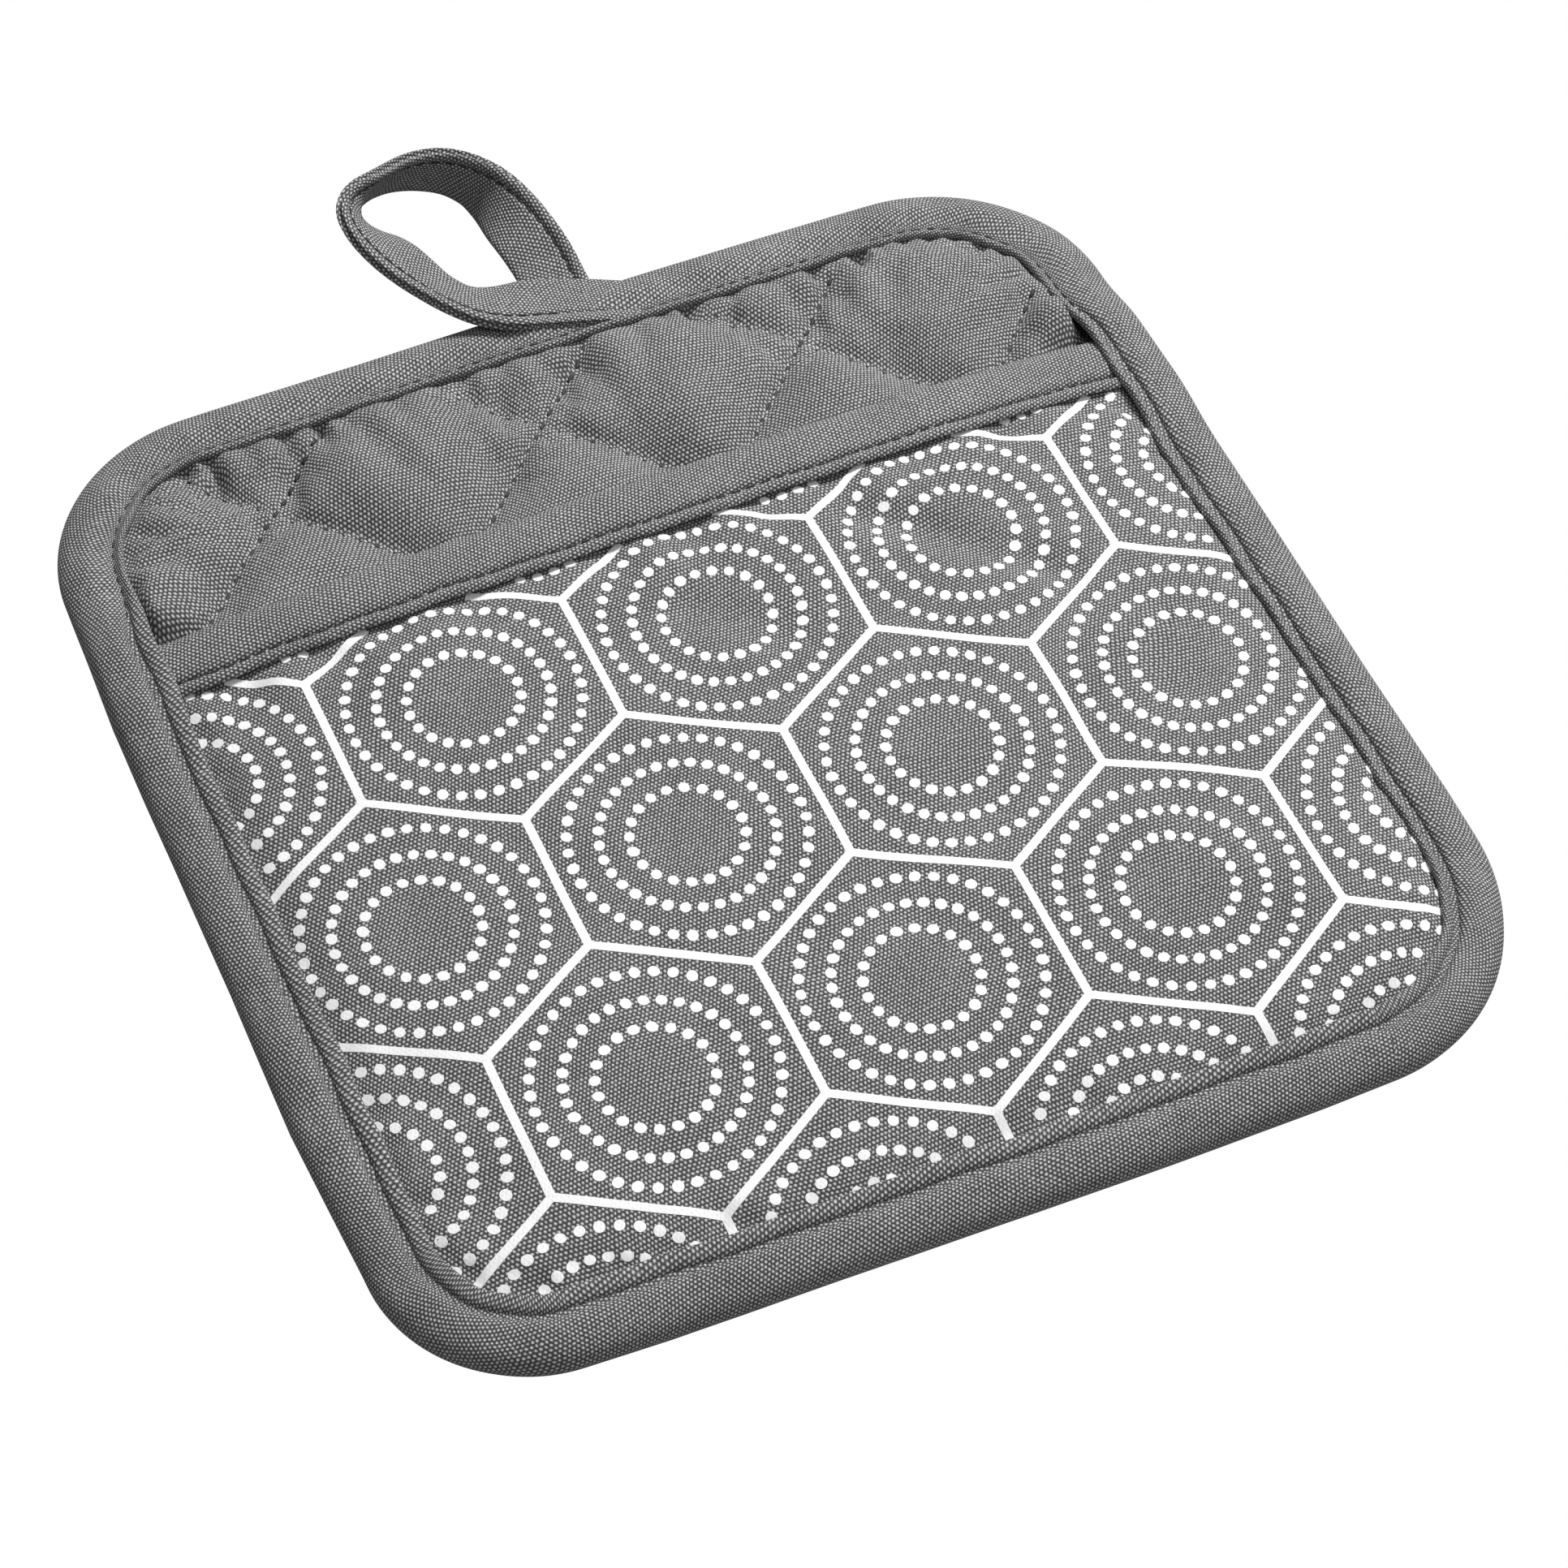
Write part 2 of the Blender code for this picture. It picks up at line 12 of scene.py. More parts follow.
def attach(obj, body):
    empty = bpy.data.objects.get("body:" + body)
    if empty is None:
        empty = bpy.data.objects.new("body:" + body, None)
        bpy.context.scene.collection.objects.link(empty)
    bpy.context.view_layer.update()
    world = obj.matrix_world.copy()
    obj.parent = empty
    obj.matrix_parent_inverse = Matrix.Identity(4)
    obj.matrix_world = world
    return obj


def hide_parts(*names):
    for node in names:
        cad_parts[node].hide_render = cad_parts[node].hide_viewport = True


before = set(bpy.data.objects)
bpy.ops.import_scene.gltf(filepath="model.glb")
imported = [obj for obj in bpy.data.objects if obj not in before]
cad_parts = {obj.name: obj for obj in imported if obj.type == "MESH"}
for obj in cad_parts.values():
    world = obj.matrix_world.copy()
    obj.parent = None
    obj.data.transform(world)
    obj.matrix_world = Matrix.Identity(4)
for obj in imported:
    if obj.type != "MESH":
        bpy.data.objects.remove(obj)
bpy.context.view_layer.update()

# Pad outline
PAD_WIDTH = 0.2154
PAD_HEIGHT = 0.2188
TOP_CORNER = 0.035
BOTTOM_LEFT_CORNER = 0.028
BOTTOM_RIGHT_CORNER = 0.038
SIDE_BOW = 0.0014
BOTTOM_SLANT = 0.0037
TOP_EDGE = PAD_HEIGHT / 2
EDGE_STEP = 0.0015

# Layers
CLOTH = 0.0005
GAP = 0.0003
PAD_WADDING_SEAM = 0.0030
PAD_WADDING_UNDER_POCKET = 0.0018
POCKET_WADDING_SEAM = 0.0005
POCKET_WADDING_MIDDLE = 0.0010

# Edge binding
BINDING_WIDTH = 0.0128
BINDING_FOLD = 0.0011
BINDING_SHOULDER = 0.0037
GROOVE_INSET = 0.0088
GROOVE_INSET_RIGHT = 0.0101
GROOVE_INSET_TOP = 0.0111
GROOVE_DEPTH = 0.0026
GROOVE_DEPTH_TOP = 0.0006
GROOVE_PUCKER = 0.28
EDGE_STITCHES = 256
EDGE_SWELL = 0.00014
EDGE_DRIFT = 0.00013
# How far in the sewn outline strays, in mm at even steps counter-clockwise from the lower right corner
EDGE_WANDER = (0.93, 1.13, 0.63, 0.80, 0.47, 0.13, 0.27, -0.50, 0.07, 0.03, 0.07, 0.30, 0.60, 0.23,
               0.43, 0.80, -0.13, 0.23, 0.27, -0.30, 0.70, 0.73, 0.27, 0.60, 0.47, 0.23, 0.37)
WANDER_STEP = 0.030

# Quilting
QUILT_DIAGONAL = 0.0539
QUILT_SHIFT = -0.0096
QUILT_ROW = TOP_EDGE - 0.0294
CREASE_UNDERSIDE = 0.0010
CREASE_HEIGHT = 0.0054
PUFF_HEIGHT = 0.0090
PUFF_HEIGHT_UNDER_POCKET = 0.0068
SEAM_SLOPE = 0.012
SEAM_SLOPE_ABOVE = 0.008
PUFF_ROUNDNESS = 3.0
STITCHES_PER_DIAMOND = 22
ON_LINE = 0.02
THREAD_PULL = 0.0004

# Relief above the pocket: a roll beside the binding, gathers, wrinkles and long folds that run in from it
ROLL_IN = 0.0028
ROLL_WIDTH = 0.0032
ROLL_HEIGHT = 0.0014
SEAM_HELD = 0.0008
GATHERS = dict(period=0.0075, reach=0.0060, seed=21)
GATHER_DEPTH = 0.0046
GATHER_START = 0.0012
GATHER_SHARES = (0.32, 1.4)
GATHER_LINE = 0.24
WRINKLES = dict(period=0.0110, reach=0.0240, seed=77, sharp=0.0016)
WRINKLE_DEPTH = 0.0021
LONG_FOLDS = dict(period=0.0100, reach=0.0300, seed=90, sharp=0.0012)
LONG_FOLD_DEPTH = 0.0022
LONG_FOLD_LINE = 0.14
LONG_FOLD_START = 0.004
SEWN_FROM = 0.001
RIPPLE = 0.0004
RIPPLE_PERIOD = 0.021

# Swell of the front cloth above the mouth's ends: where it starts and stops, each with its run
SWELL_HEIGHT = 0.0046
SWELL_START = (0.0010, 0.0050)
SWELL_STOP = (0.0080, 0.0120)
SWELL_IN = 0.0020
SWELL_WIDTH = 0.0070

# Blowing up by simulation: size it is done at, its length, how far a place may move, least filling left
RELAX_SCALE = 20.0
RELAX_FRAMES = 18
CLOTH_SETTINGS = dict(
    quality=6, mass=0.2, tension_stiffness=12, compression_stiffness=8, shear_stiffness=4,
    bending_stiffness=0.4, air_damping=4, vertex_group_mass="held", use_pressure=True)
PAD_CAP = 0.0022
POCKET_CAP = 0.0012
HELD_UNDER_POCKET = 0.012
LEAST_FILL = 0.0003
LEAST_POCKET_FILL = 0.0002
LEAST_ROOM = 0.0004

# Pocket
MOUTH = TOP_EDGE - 0.0530
MOUTH_SAG = 0.0030
POCKET_RISE = 0.0062
POCKET_SLOPE = 0.055
POCKET_BAND = 0.0130
POCKET_FOLD = 0.0008
LEVEL_RUN = 0.018
BAND_LOW = MOUTH - POCKET_BAND
LIFT_TOP = BAND_LOW - MOUTH_SAG - 2 * GAP

SHEET_INSET = BINDING_SHOULDER + GAP
PAD_SEAM_BASE = BINDING_FOLD + GAP
POCKET_SEAM = 2 * CLOTH + 2 * GAP + POCKET_WADDING_SEAM
BAND_EXTRA = POCKET_FOLD + GAP

# Pocket's face: gathers, dips below the band (depth, place below it, half width), waves (height, slant
# in x and y, period, seed) and valleys (both ends, half width, depth)
POCKET_GATHERS = dict(period=0.0110, reach=0.0060, seed=5)
POCKET_GATHER_DEPTH = 0.0011
POCKET_GATHER_START = 0.001
DIP_START = 0.006
WAVE_START = 0.02
WAVE_START_BELOW = 0.008
VALLEY_END = 0.006
DIP_PERIOD = 0.017
MOUTH_DIPS = ((0.0021, 0.0022, 0.0030), (0.0008, 0.006, 0.006))
POCKET_WAVES = ((0.00045, 1.0, 0.3, 0.034, 31), (0.00035, -0.2, 1.0, 0.029, 32))
POCKET_VALLEYS = (
    ((0.0342, 0.0296), (0.0600, 0.0065), 0.0042, 0.0021),
    ((-0.0041, 0.0225), (0.0088, 0.0121), 0.0060, 0.0018),
)

# Lattice that every cloth shares: its diagonals are the quilting lines, one stitch to each crossing
STEP = QUILT_DIAGONAL / STITCHES_PER_DIAMOND

# Face of the mouth's band: in from its lower edge and up from its top, in tenths of a millimetre
BAND_GROOVE = 27
BAND_SECTION = (
    (-3, -4), (2, 3), (10, 6), (19, 3), (23, -4), (BAND_GROOVE, -15), (30, -4), (36, 1), (48, 4), (75, 5))
BAND_STRAY = 0.0003
BAND_RIPPLE = 0.0002
MOUTH_STRAY = 0.00035
MOUTH_STITCH_SINK = 0.0005

# Seams: places in the loop and the first rows of both its faces, and stitches
LOOP_SEAM_IN = 0.0028
LOOP_SEAM_SINK = 0.0003
LOOP_SEAM_STARTS = (8, 20)
LOWER_SEAM = 0.0004
TOPSTITCH = dict(pitch=0.0030, length=0.0021, radius=0.00017)
LOOP_STITCH = dict(pitch=0.0029, length=0.0020, radius=0.00016)
BACK_STITCH = dict(pitch=0.00346, length=0.0024, radius=0.00018, sink=0.0)
# Quilting threads for lines that slant to the right and to the left: radius and half a stitch. The thick
# near-black threads on the right-slanting lines also paint the shade of the stitch pits
QUILT_THREADS = {1: (0.00040, 0.0011), -1: (0.00017, 0.0008)}
QUILT_SINK = -0.0001
QUILT_END = 0.0006
STITCH_PULL = 0.00010
LOOP_PULL = 0.00008

# Hanging loop: middle line of the tape as x, y past the top edge and z in tenths of a millimetre, then
# the way its stitched rim points and the share of full thickness, both in hundredths
LOOP_TAPE = 0.0131
LOOP_THICKNESS = 0.0024
LOOP_ROOT_WIDTH = 0.4
LOOP_UNITS = np.array([1e4] * 3 + [100] * 4)
LOOP_ROUTE = (
    (206, -68, 62, -20, -97, 5, 35), (104, -47, 77, -34, -94, 0, 60), (7, -24, 81, -34, -94, 3, 90),
    (-46, -16, 85, -34, -93, 14, 100), (-92, 3, 87, -34, -89, 28, 100),
    (-130, 32, 90, -39, -83, 40, 100), (-160, 68, 97, -49, -77, 40, 100),
    (-187, 106, 112, -61, -71, 35, 100), (-211, 146, 125, -69, -64, 35, 100),
    (-231, 189, 131, -68, -57, 46, 100), (-244, 235, 129, -57, -52, 64, 100),
    (-246, 281, 120, -36, -48, 80, 100), (-232, 324, 109, -13, -47, 87, 100),
    (-204, 361, 97, 2, -45, 89, 100), (-166, 387, 87, 7, -41, 91, 100),
    (-121, 399, 80, 7, -32, 94, 100), (-74, 394, 76, 6, -21, 97, 100), (-32, 374, 75, 9, -12, 99, 100),
    (0, 340, 75, 20, -4, 98, 100), (20, 298, 77, 40, 3, 92, 100), (32, 252, 83, 61, 7, 79, 100),
    (40, 206, 87, 78, 7, 62, 100), (47, 166, 87, 89, 3, 46, 100), (55, 123, 80, 95, -5, 30, 100),
    (63, 85, 64, 98, -12, 14, 100), (68, 38, 46, 98, -16, 2, 100), (70, -22, 37, 97, -20, 0, 100),
)

# Weave: pale dots of weft, staggered between the warp yarns
WARP_PER_METRE = 1270
WEFT_PER_METRE = 700
WARP_TONE = 0.055
WEFT_TONE = 0.53

# Print: hexagons with three dotted rings in each
HEX_EDGE = 0.0284
HEX_ORIGIN = (-0.0247, -0.0224)
HEX_LINE = 0.00165
RIBBON_STEPS = 30
JUNCTION_SHARE = 1.12
# How far over the seams each kind of ink may reach
DOT_MARGIN = 0.0004
LINE_MARGIN = 0.0008
JUNCTION_MARGIN = 0.0002
PRINT_PLANE = 0.012
DOT_RINGS = ((0.357, 20, 17.0), (0.546, 32, 7.5), (0.740, 40, 5.0))
DOT_RADIUS = 0.00107
DISC_SIDES = 14
# Rings of a dot: share of its radius, height above the cloth, places
DISC_RINGS = (
    (0.0, 0.00011, 1),
    (0.96, 0.00010, DISC_SIDES),
    (1.0, -0.00005, DISC_SIDES),
    (0.0, -0.00012, 1),
)

# Camera of the photograph
CAMERA_PLACE = Vector((-0.18960, -0.37566, 0.57488))
CAMERA_RIGHT = Vector((0.90870, -0.41600, 0.03484))
CAMERA_UP = Vector((0.32042, 0.74853, 0.58054))
CAMERA_AHEAD = Vector((0.26758, 0.51638, -0.81348))
CAMERA_LENS = 90.29

# Floor and light
FLOOR_DROP = 0.0002
FLOOR_TONE = 0.35
WORLD_LIGHT = 0.135

rng = np.random.default_rng(7)


def ease(value):
    t = np.clip(value, 0.0, 1.0)
    return t * t * (3 - 2 * t)


def mix(low, high, share):
    return low + (high - low) * share


def bump_at(value, width):
    return np.exp(-(value / width) ** 2)


def waves(t, period, seed, count=4):
    """Smooth irregular waves of about the given period, from -1 to 1."""
    draw = np.random.default_rng(seed)
    total = 0.0
    for _ in range(count):
        total = total + np.sin(2 * math.pi * t / (period * draw.uniform(0.65, 1.6)) + draw.uniform(0, 6.28))
    return total / count * 1.3


# Outline

def bent(points):
    x, y = points[:, 0].copy(), points[:, 1].copy()
    u, v = x / (PAD_WIDTH / 2), y / (PAD_HEIGHT / 2)
    x += SIDE_BOW * np.sign(u) * ((1 - v * v) * abs(u) ** 3 - abs(u) ** 3)
    y += SIDE_BOW * np.sign(v) * ((1 - u * u) * abs(v) ** 3 - abs(v) ** 3)
    y -= np.where(v < 0, BOTTOM_SLANT * u * abs(v), 0.0)
    return np.stack([x, y], 1)


def way_along(line):
    """How far along a line each of its points lies."""
    return np.r_[0, np.cumsum(np.linalg.norm(np.diff(line, axis=0), axis=1))]


def spaced(points, step, closed=True):
    """Points at even steps along a line, and how far along each lies."""
    line = np.vstack([points, points[:1]]) if closed else points
    length = way_along(line)
    count = max(2, int(round(length[-1] / step)))
    at = np.linspace(0, length[-1], count + 1)
    if closed:
        at = at[:-1]
    return np.stack([np.interp(at, length, line[:, k]) for k in range(line.shape[1])], 1), at


def outline(step):
    """Outer edge counter-clockwise from the lower right corner: points, inward directions, way along."""
    half_w, half_h = PAD_WIDTH / 2, PAD_HEIGHT / 2
    flat = []
    corners = (
        (1, -1, BOTTOM_RIGHT_CORNER, -90),
        (1, 1, TOP_CORNER, 0),
        (-1, 1, TOP_CORNER, 90),
        (-1, -1, BOTTOM_LEFT_CORNER, 180),
    )
    for right, up, radius, start in corners:
        angle = np.radians(start + np.linspace(0, 90, 40))
        flat.append(np.stack([right * (half_w - radius) + radius * np.cos(angle),
                              up * (half_h - radius) + radius * np.sin(angle)], 1))
    flat = spaced(np.vstack(flat), 0.0008)[0]
    points, along = spaced(bent(flat), step)
    ahead = np.roll(points, -1, 0) - np.roll(points, 1, 0)
    ahead /= np.linalg.norm(ahead, axis=1)[:, None]
    return points, np.stack([-ahead[:, 1], ahead[:, 0]], 1), along


EDGE, INWARD, EDGE_WAY = outline(EDGE_STEP)
EDGE_LENGTH = EDGE_WAY[-1] + EDGE_STEP


def ring_field(x, y, inset, open_top=False):
    """How far inside the edge's inset line each place lies, and how far round its nearest point is."""
    line = EDGE + INWARD * inset
    ends = np.roll(line, -1, 0)
    best = np.full(x.shape, 1.0)
    way = np.zeros(x.shape)
    sign = np.ones(x.shape)
    for k in range(len(line)):
        a, e = line[k], ends[k] - line[k]
        if open_top and min(a[1], ends[k][1]) > MOUTH:
            continue
        px, py = x - a[0], y - a[1]
        t = np.clip((px * e[0] + py * e[1]) / (e @ e), 0, 1)
        d = np.hypot(px - t * e[0], py - t * e[1])
        near = d < best
        best = np.where(near, d, best)
        way = np.where(near, EDGE_WAY[k] + t * EDGE_STEP, way)
        sign = np.where(near, np.where(e[0] * py - e[1] * px < 0, -1.0, 1.0), sign)
    return best * sign, way


# Heights of the layers

def pocket_share(y):
    return 1 - ease((y - MOUTH) / LEVEL_RUN)


def edge_place(k, inset):
    """Place of the edge strip at an inset; its outer side strays, its stitched side doesn't."""
    at = (np.arange(len(EDGE_WANDER)) + 1 / 3) * WANDER_STEP
    stray = np.interp(EDGE_WAY[k], at, EDGE_WANDER, period=EDGE_LENGTH) / 1000
    inset = inset + stray * (1 - inset / BINDING_WIDTH)
    return EDGE[k] + INWARD[k] * inset


def groove_inset(k):
    """How far in the stitched groove lies: nearest to the edge at the left and the bottom."""
    beside_pocket = mix(GROOVE_INSET, GROOVE_INSET_RIGHT, max(0.0, -INWARD[k][0]))
    return mix(GROOVE_INSET_TOP, beside_pocket, pocket_share(EDGE[k][1]))


def band_share(y):
    below = ease((y - (BAND_LOW - LEVEL_RUN)) / (LEVEL_RUN - GAP))
    above = 1 - ease((y - MOUTH - GAP) / LEVEL_RUN)
    return np.minimum(below, above)


def pad_seam_top(y):
    wadding = mix(PAD_WADDING_SEAM, PAD_WADDING_UNDER_POCKET, pocket_share(y))
    return PAD_SEAM_BASE + 2 * CLOTH + 2 * GAP + wadding


def binding_front(y):
    pocket = pocket_share(y) * (POCKET_SEAM + GAP) + band_share(y) * 2 * BAND_EXTRA
    return pad_seam_top(y) + pocket + GAP + BINDING_FOLD


def quilt_near(x, y):
    """Share of the way from a quilting line to the middle of a diamond, for both diagonals."""
    half = QUILT_DIAGONAL / 2
    a = (x - QUILT_SHIFT + y - QUILT_ROW) / half
    b = (x - QUILT_SHIFT - y + QUILT_ROW) / half
    return 2 * abs(a / 2 - np.round(a / 2)), 2 * abs(b / 2 - np.round(b / 2))


def puff(x, y):
    a, b = quilt_near(x, y)
    return 1 - (1 - np.minimum(a, b)) ** PUFF_ROUNDNESS


class Cloth:
    """A sheet of cloth as a lattice of places, with the flat place that each one had."""

    def __init__(self, finer):
        self.step = STEP / finer
        left = int(math.floor((-PAD_WIDTH / 2 - QUILT_SHIFT) / STEP)) * finer
        right = int(math.ceil((PAD_WIDTH / 2 - QUILT_SHIFT) / STEP)) * finer
        low = int(math.floor((-PAD_HEIGHT / 2 - BOTTOM_SLANT - QUILT_ROW) / STEP)) * finer
        high = int(math.ceil((TOP_EDGE - QUILT_ROW) / STEP)) * finer
        self.i = np.arange(left, right + 1)
        self.j = np.arange(low, high + 1)
        self.x, self.y = np.meshgrid(QUILT_SHIFT + self.i * self.step, QUILT_ROW + self.j * self.step)
        self.inset, _ = ring_field(self.x, self.y, 0.0)
        self.seam, self.way = ring_field(self.x, self.y, BINDING_WIDTH)
        self.seam = np.maximum(self.seam, 0.0)
        self.kept = self.inset > SHEET_INSET

    def at(self, values, x, y):
        """Values of the lattice between its crossings."""
        u = np.clip((x - self.x[0, 0]) / self.step, 0, self.x.shape[1] - 1.001)
        v = np.clip((y - self.y[0, 0]) / self.step, 0, self.x.shape[0] - 1.001)
        i, j = u.astype(int), v.astype(int)
        s, t = u - i, v - j
        if values.ndim == 3:
            s, t = s[..., None], t[..., None]
        low = values[j, i] * (1 - s) + values[j, i + 1] * s
        high = values[j + 1, i] * (1 - s) + values[j + 1, i + 1] * s
        return low * (1 - t) + high * t


def finer(values):
    """The same lattice with a smooth value put between each pair."""
    for axis in (0, 1):
        v = np.moveaxis(values, axis, 0)
        pad = np.concatenate([2 * v[:1] - v[1:2], v, 2 * v[-1:] - v[-2:-1]])
        middle = (9 * (pad[1:-2] + pad[2:-1]) - pad[:-3] - pad[3:]) / 16
        out = np.empty((2 * len(v) - 1,) + v.shape[1:])
        out[0::2] = v
        out[1::2] = middle
        values = np.moveaxis(out, 0, axis)
    return values


def normals(places):
    across = np.gradient(places, axis=1)
    up = np.gradient(places, axis=0)
    out = np.cross(across, up)
    return out / np.linalg.norm(out, axis=2)[..., None]


COARSE = Cloth(1)
FINE = Cloth(2)


def lowest_near(heights):
    """Least height of a fine lattice within one coarse step, at the coarse crossings."""
    pad = np.pad(heights, 2, mode="edge")
    rows, columns = heights.shape
    near = [pad[j:j + rows, i:i + columns] for j in range(5) for i in range(5)]
    return np.min(near, axis=0)[::2, ::2]


def pocket_lift(x, y):
    """How far the pocket has risen: 0 at its seams, 1 in its middle."""
    depth, _ = ring_field(x, np.minimum(y, LIFT_TOP), BINDING_WIDTH, open_top=True)
    return 1 - (1 - np.clip(depth / POCKET_SLOPE, 0.0, 1.0)) ** 2


COLUMN_X = np.linspace(-PAD_WIDTH / 2, PAD_WIDTH / 2, 200)
COLUMN_LIFT = pocket_lift(COLUMN_X, np.full(200, LIFT_TOP))


def mouth_sag(x):
    return MOUTH_SAG * np.interp(x, COLUMN_X, COLUMN_LIFT)


def pocket_base(y, lift):
    seam = PAD_SEAM_BASE + 2 * CLOTH + 3 * GAP + PAD_WADDING_UNDER_POCKET
    seam = seam + BAND_EXTRA * ease((y - LIFT_TOP + LEVEL_RUN) / LEVEL_RUN)
    return seam + POCKET_RISE * lift


def pocket_thickness(lift):
    return 2 * CLOTH + 2 * GAP + mix(POCKET_WADDING_SEAM, POCKET_WADDING_MIDDLE, lift)


def creases(way, depth_in, period, reach, seed, sharp=0.0011):
    """Small folds that run in from a seam: 1 in a fold's line at the seam, less away from it."""
    draw = np.random.default_rng(seed)
    total = np.zeros(way.shape)
    at = 0.0
    while at < EDGE_LENGTH:
        at += period * draw.uniform(0.6, 1.5)
        strength, run = draw.uniform(0.45, 1.0), reach * draw.uniform(0.6, 1.5)
        slant = draw.uniform(-0.45, 0.45)
        off = np.abs(way + slant * depth_in - at)
        width = sharp + 0.16 * depth_in
        total = np.maximum(total, strength * np.exp(-(off / width) ** 1.3) * np.exp(-depth_in / run))
    return total


def linked(name, data):
    obj = bpy.data.objects.new(name, data)
    bpy.context.collection.objects.link(obj)
    return obj


def lattice_quads(kept):
    """Faces between the crossings that are kept, numbered in order."""
    ids = -np.ones(kept.shape, int)
    ids[kept] = np.arange(kept.sum())
    quads = np.stack([ids[:-1, :-1], ids[:-1, 1:], ids[1:, 1:], ids[1:, :-1]], -1).reshape(-1, 4)
    return quads[(quads >= 0).all(1)]


def relax(cloth, places, held, growth, pressure):
    """Blow a held cloth up a little by simulation, as wadding does, and return where it ends."""
    quads = lattice_quads(cloth.kept)
    data = bpy.data.meshes.new("relaxing")
    data.from_pydata((places[cloth.kept] * RELAX_SCALE).tolist(), [], quads.tolist())
    obj = linked("relaxing", data)
    group = obj.vertex_groups.new(name="held")
    group.add(np.flatnonzero(held[cloth.kept]).tolist(), 1.0, "REPLACE")
    mod = obj.modifiers.new("cloth", "CLOTH")
    for key, value in CLOTH_SETTINGS.items():
        setattr(mod.settings, key, value)
    mod.settings.uniform_pressure_force = pressure
    mod.settings.shrink_min = -growth
    mod.settings.effector_weights.gravity = 0
    mod.collision_settings.use_collision = False
    mod.collision_settings.use_self_collision = False
    mod.point_cache.frame_start = 1
    mod.point_cache.frame_end = RELAX_FRAMES
    scene = bpy.context.scene
    for k in range(1, RELAX_FRAMES + 1):
        scene.frame_set(k)
    done = obj.evaluated_get(bpy.context.evaluated_depsgraph_get()).data
    out = np.empty(len(done.vertices) * 3)
    done.vertices.foreach_get("co", out)
    result = places.copy()
    result[cloth.kept] = out.reshape(-1, 3) / RELAX_SCALE
    bpy.data.objects.remove(obj)
    bpy.data.meshes.remove(data)
    scene.frame_set(1)
    return result


def capped(before, after, cap):
    """Each place moved as simulated, but never further than the cap."""
    move = after - before
    far = np.linalg.norm(move, axis=2)[..., None]
    return before + move * np.minimum(1.0, cap / np.maximum(far, 1e-9))


# Meshes

def add_piece(name, verts, faces, uvs=None, *, slot, material, node=None, smooth_angle=60):
    """Make a mesh piece that rides on the pot holder."""
    data = bpy.data.meshes.new(name)
    data.from_pydata([tuple(v) for v in verts], [], [tuple(f) for f in faces])
    if uvs is not None:
        layer = data.uv_layers.new(name="weave")
        corners = np.empty(len(data.loops), int)
        data.loops.foreach_get("vertex_index", corners)
        flat = np.asarray(uvs, np.float32)
        flat = flat[corners] if len(uvs) == len(verts) else flat
        layer.uv.foreach_set("vector", flat.ravel())
    data.shade_smooth()
    data.set_sharp_from_angle(angle=math.radians(smooth_angle))
    data.validate()
    obj = linked(name, data)
    data.materials.append(material)
    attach(obj, "root")
    if node:
        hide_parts(node)
    return obj


def sheet_mesh(cloth, places, kept, back=None):
    """Closed thin sheet: the places, and a given back or the same set back by the cloth's thickness."""
    back = places - normals(places) * CLOTH if back is None else back
    used, quads = np.unique(lattice_quads(kept), return_inverse=True)
    quads = quads.reshape(-1, 4)
    count = len(used)
    pairs = dict.fromkeys(zip(quads.ravel(), np.roll(quads, -1, 1).ravel()))
    rim = [(b, a, a + count, b + count) for a, b in pairs if (b, a) not in pairs]
    verts = np.vstack([places[kept][used], back[kept][used]])
    faces = quads.tolist() + (quads[:, ::-1] + count).tolist() + rim
    flat = np.stack([cloth.x[kept][used], cloth.y[kept][used]], 1)
    return verts, faces, np.vstack([flat, flat])


def swept_mesh(sections, closed, way):
    """Skin closed sections into a tube; returns vertices, faces and, per corner, way along and across."""
    rows, count = sections.shape[:2]
    ids = np.arange(rows * count).reshape(rows, count)
    around = np.linalg.norm(np.diff(np.concatenate([sections, sections[:, :1]], 1), axis=1), axis=2)
    across = np.concatenate([np.zeros((rows, 1)), np.cumsum(around, 1)], 1).mean(0)
    faces, uvs = [], []
    last = rows if closed else rows - 1
    ends = np.append(way, way[-1] + (way[-1] - way[-2]))
    for r in range(last):
        n = (r + 1) % rows
        for k in range(count):
            m = (k + 1) % count
            faces.append((ids[r, k], ids[n, k], ids[n, m], ids[r, m]))
            u0, u1 = ends[r], ends[r + 1]
            v0, v1 = across[k], across[k + 1]
            uvs += [(u0, v0), (u1, v0), (u1, v1), (u0, v1)]
    if not closed:
        for row in (ids[0], ids[-1][::-1]):
            faces.append(tuple(row))
            uvs += [(way[0], v) for v in across[:-1]]
    return sections.reshape(-1, 3), faces, np.array(uvs)


def joined(parts):
    """Several vertex and face lists as one."""
    verts, faces, base = [], [], 0
    for v, f in parts:
        verts.append(np.asarray(v))
        faces += [tuple(k + base for k in face) for face in f]
        base += len(v)
    return np.vstack(verts), faces


def rounded(points):
    """A closed section with its corners rounded; it stays finest where its points lie close."""
    ring = np.asarray(points, float)
    for _ in range(2):
        ahead = np.roll(ring, -1, 0)
        pairs = np.stack([ring * 0.75 + ahead * 0.25, ring * 0.25 + ahead * 0.75], 1)
        ring = pairs.reshape(-1, ring.shape[1])
    return ring


# Materials

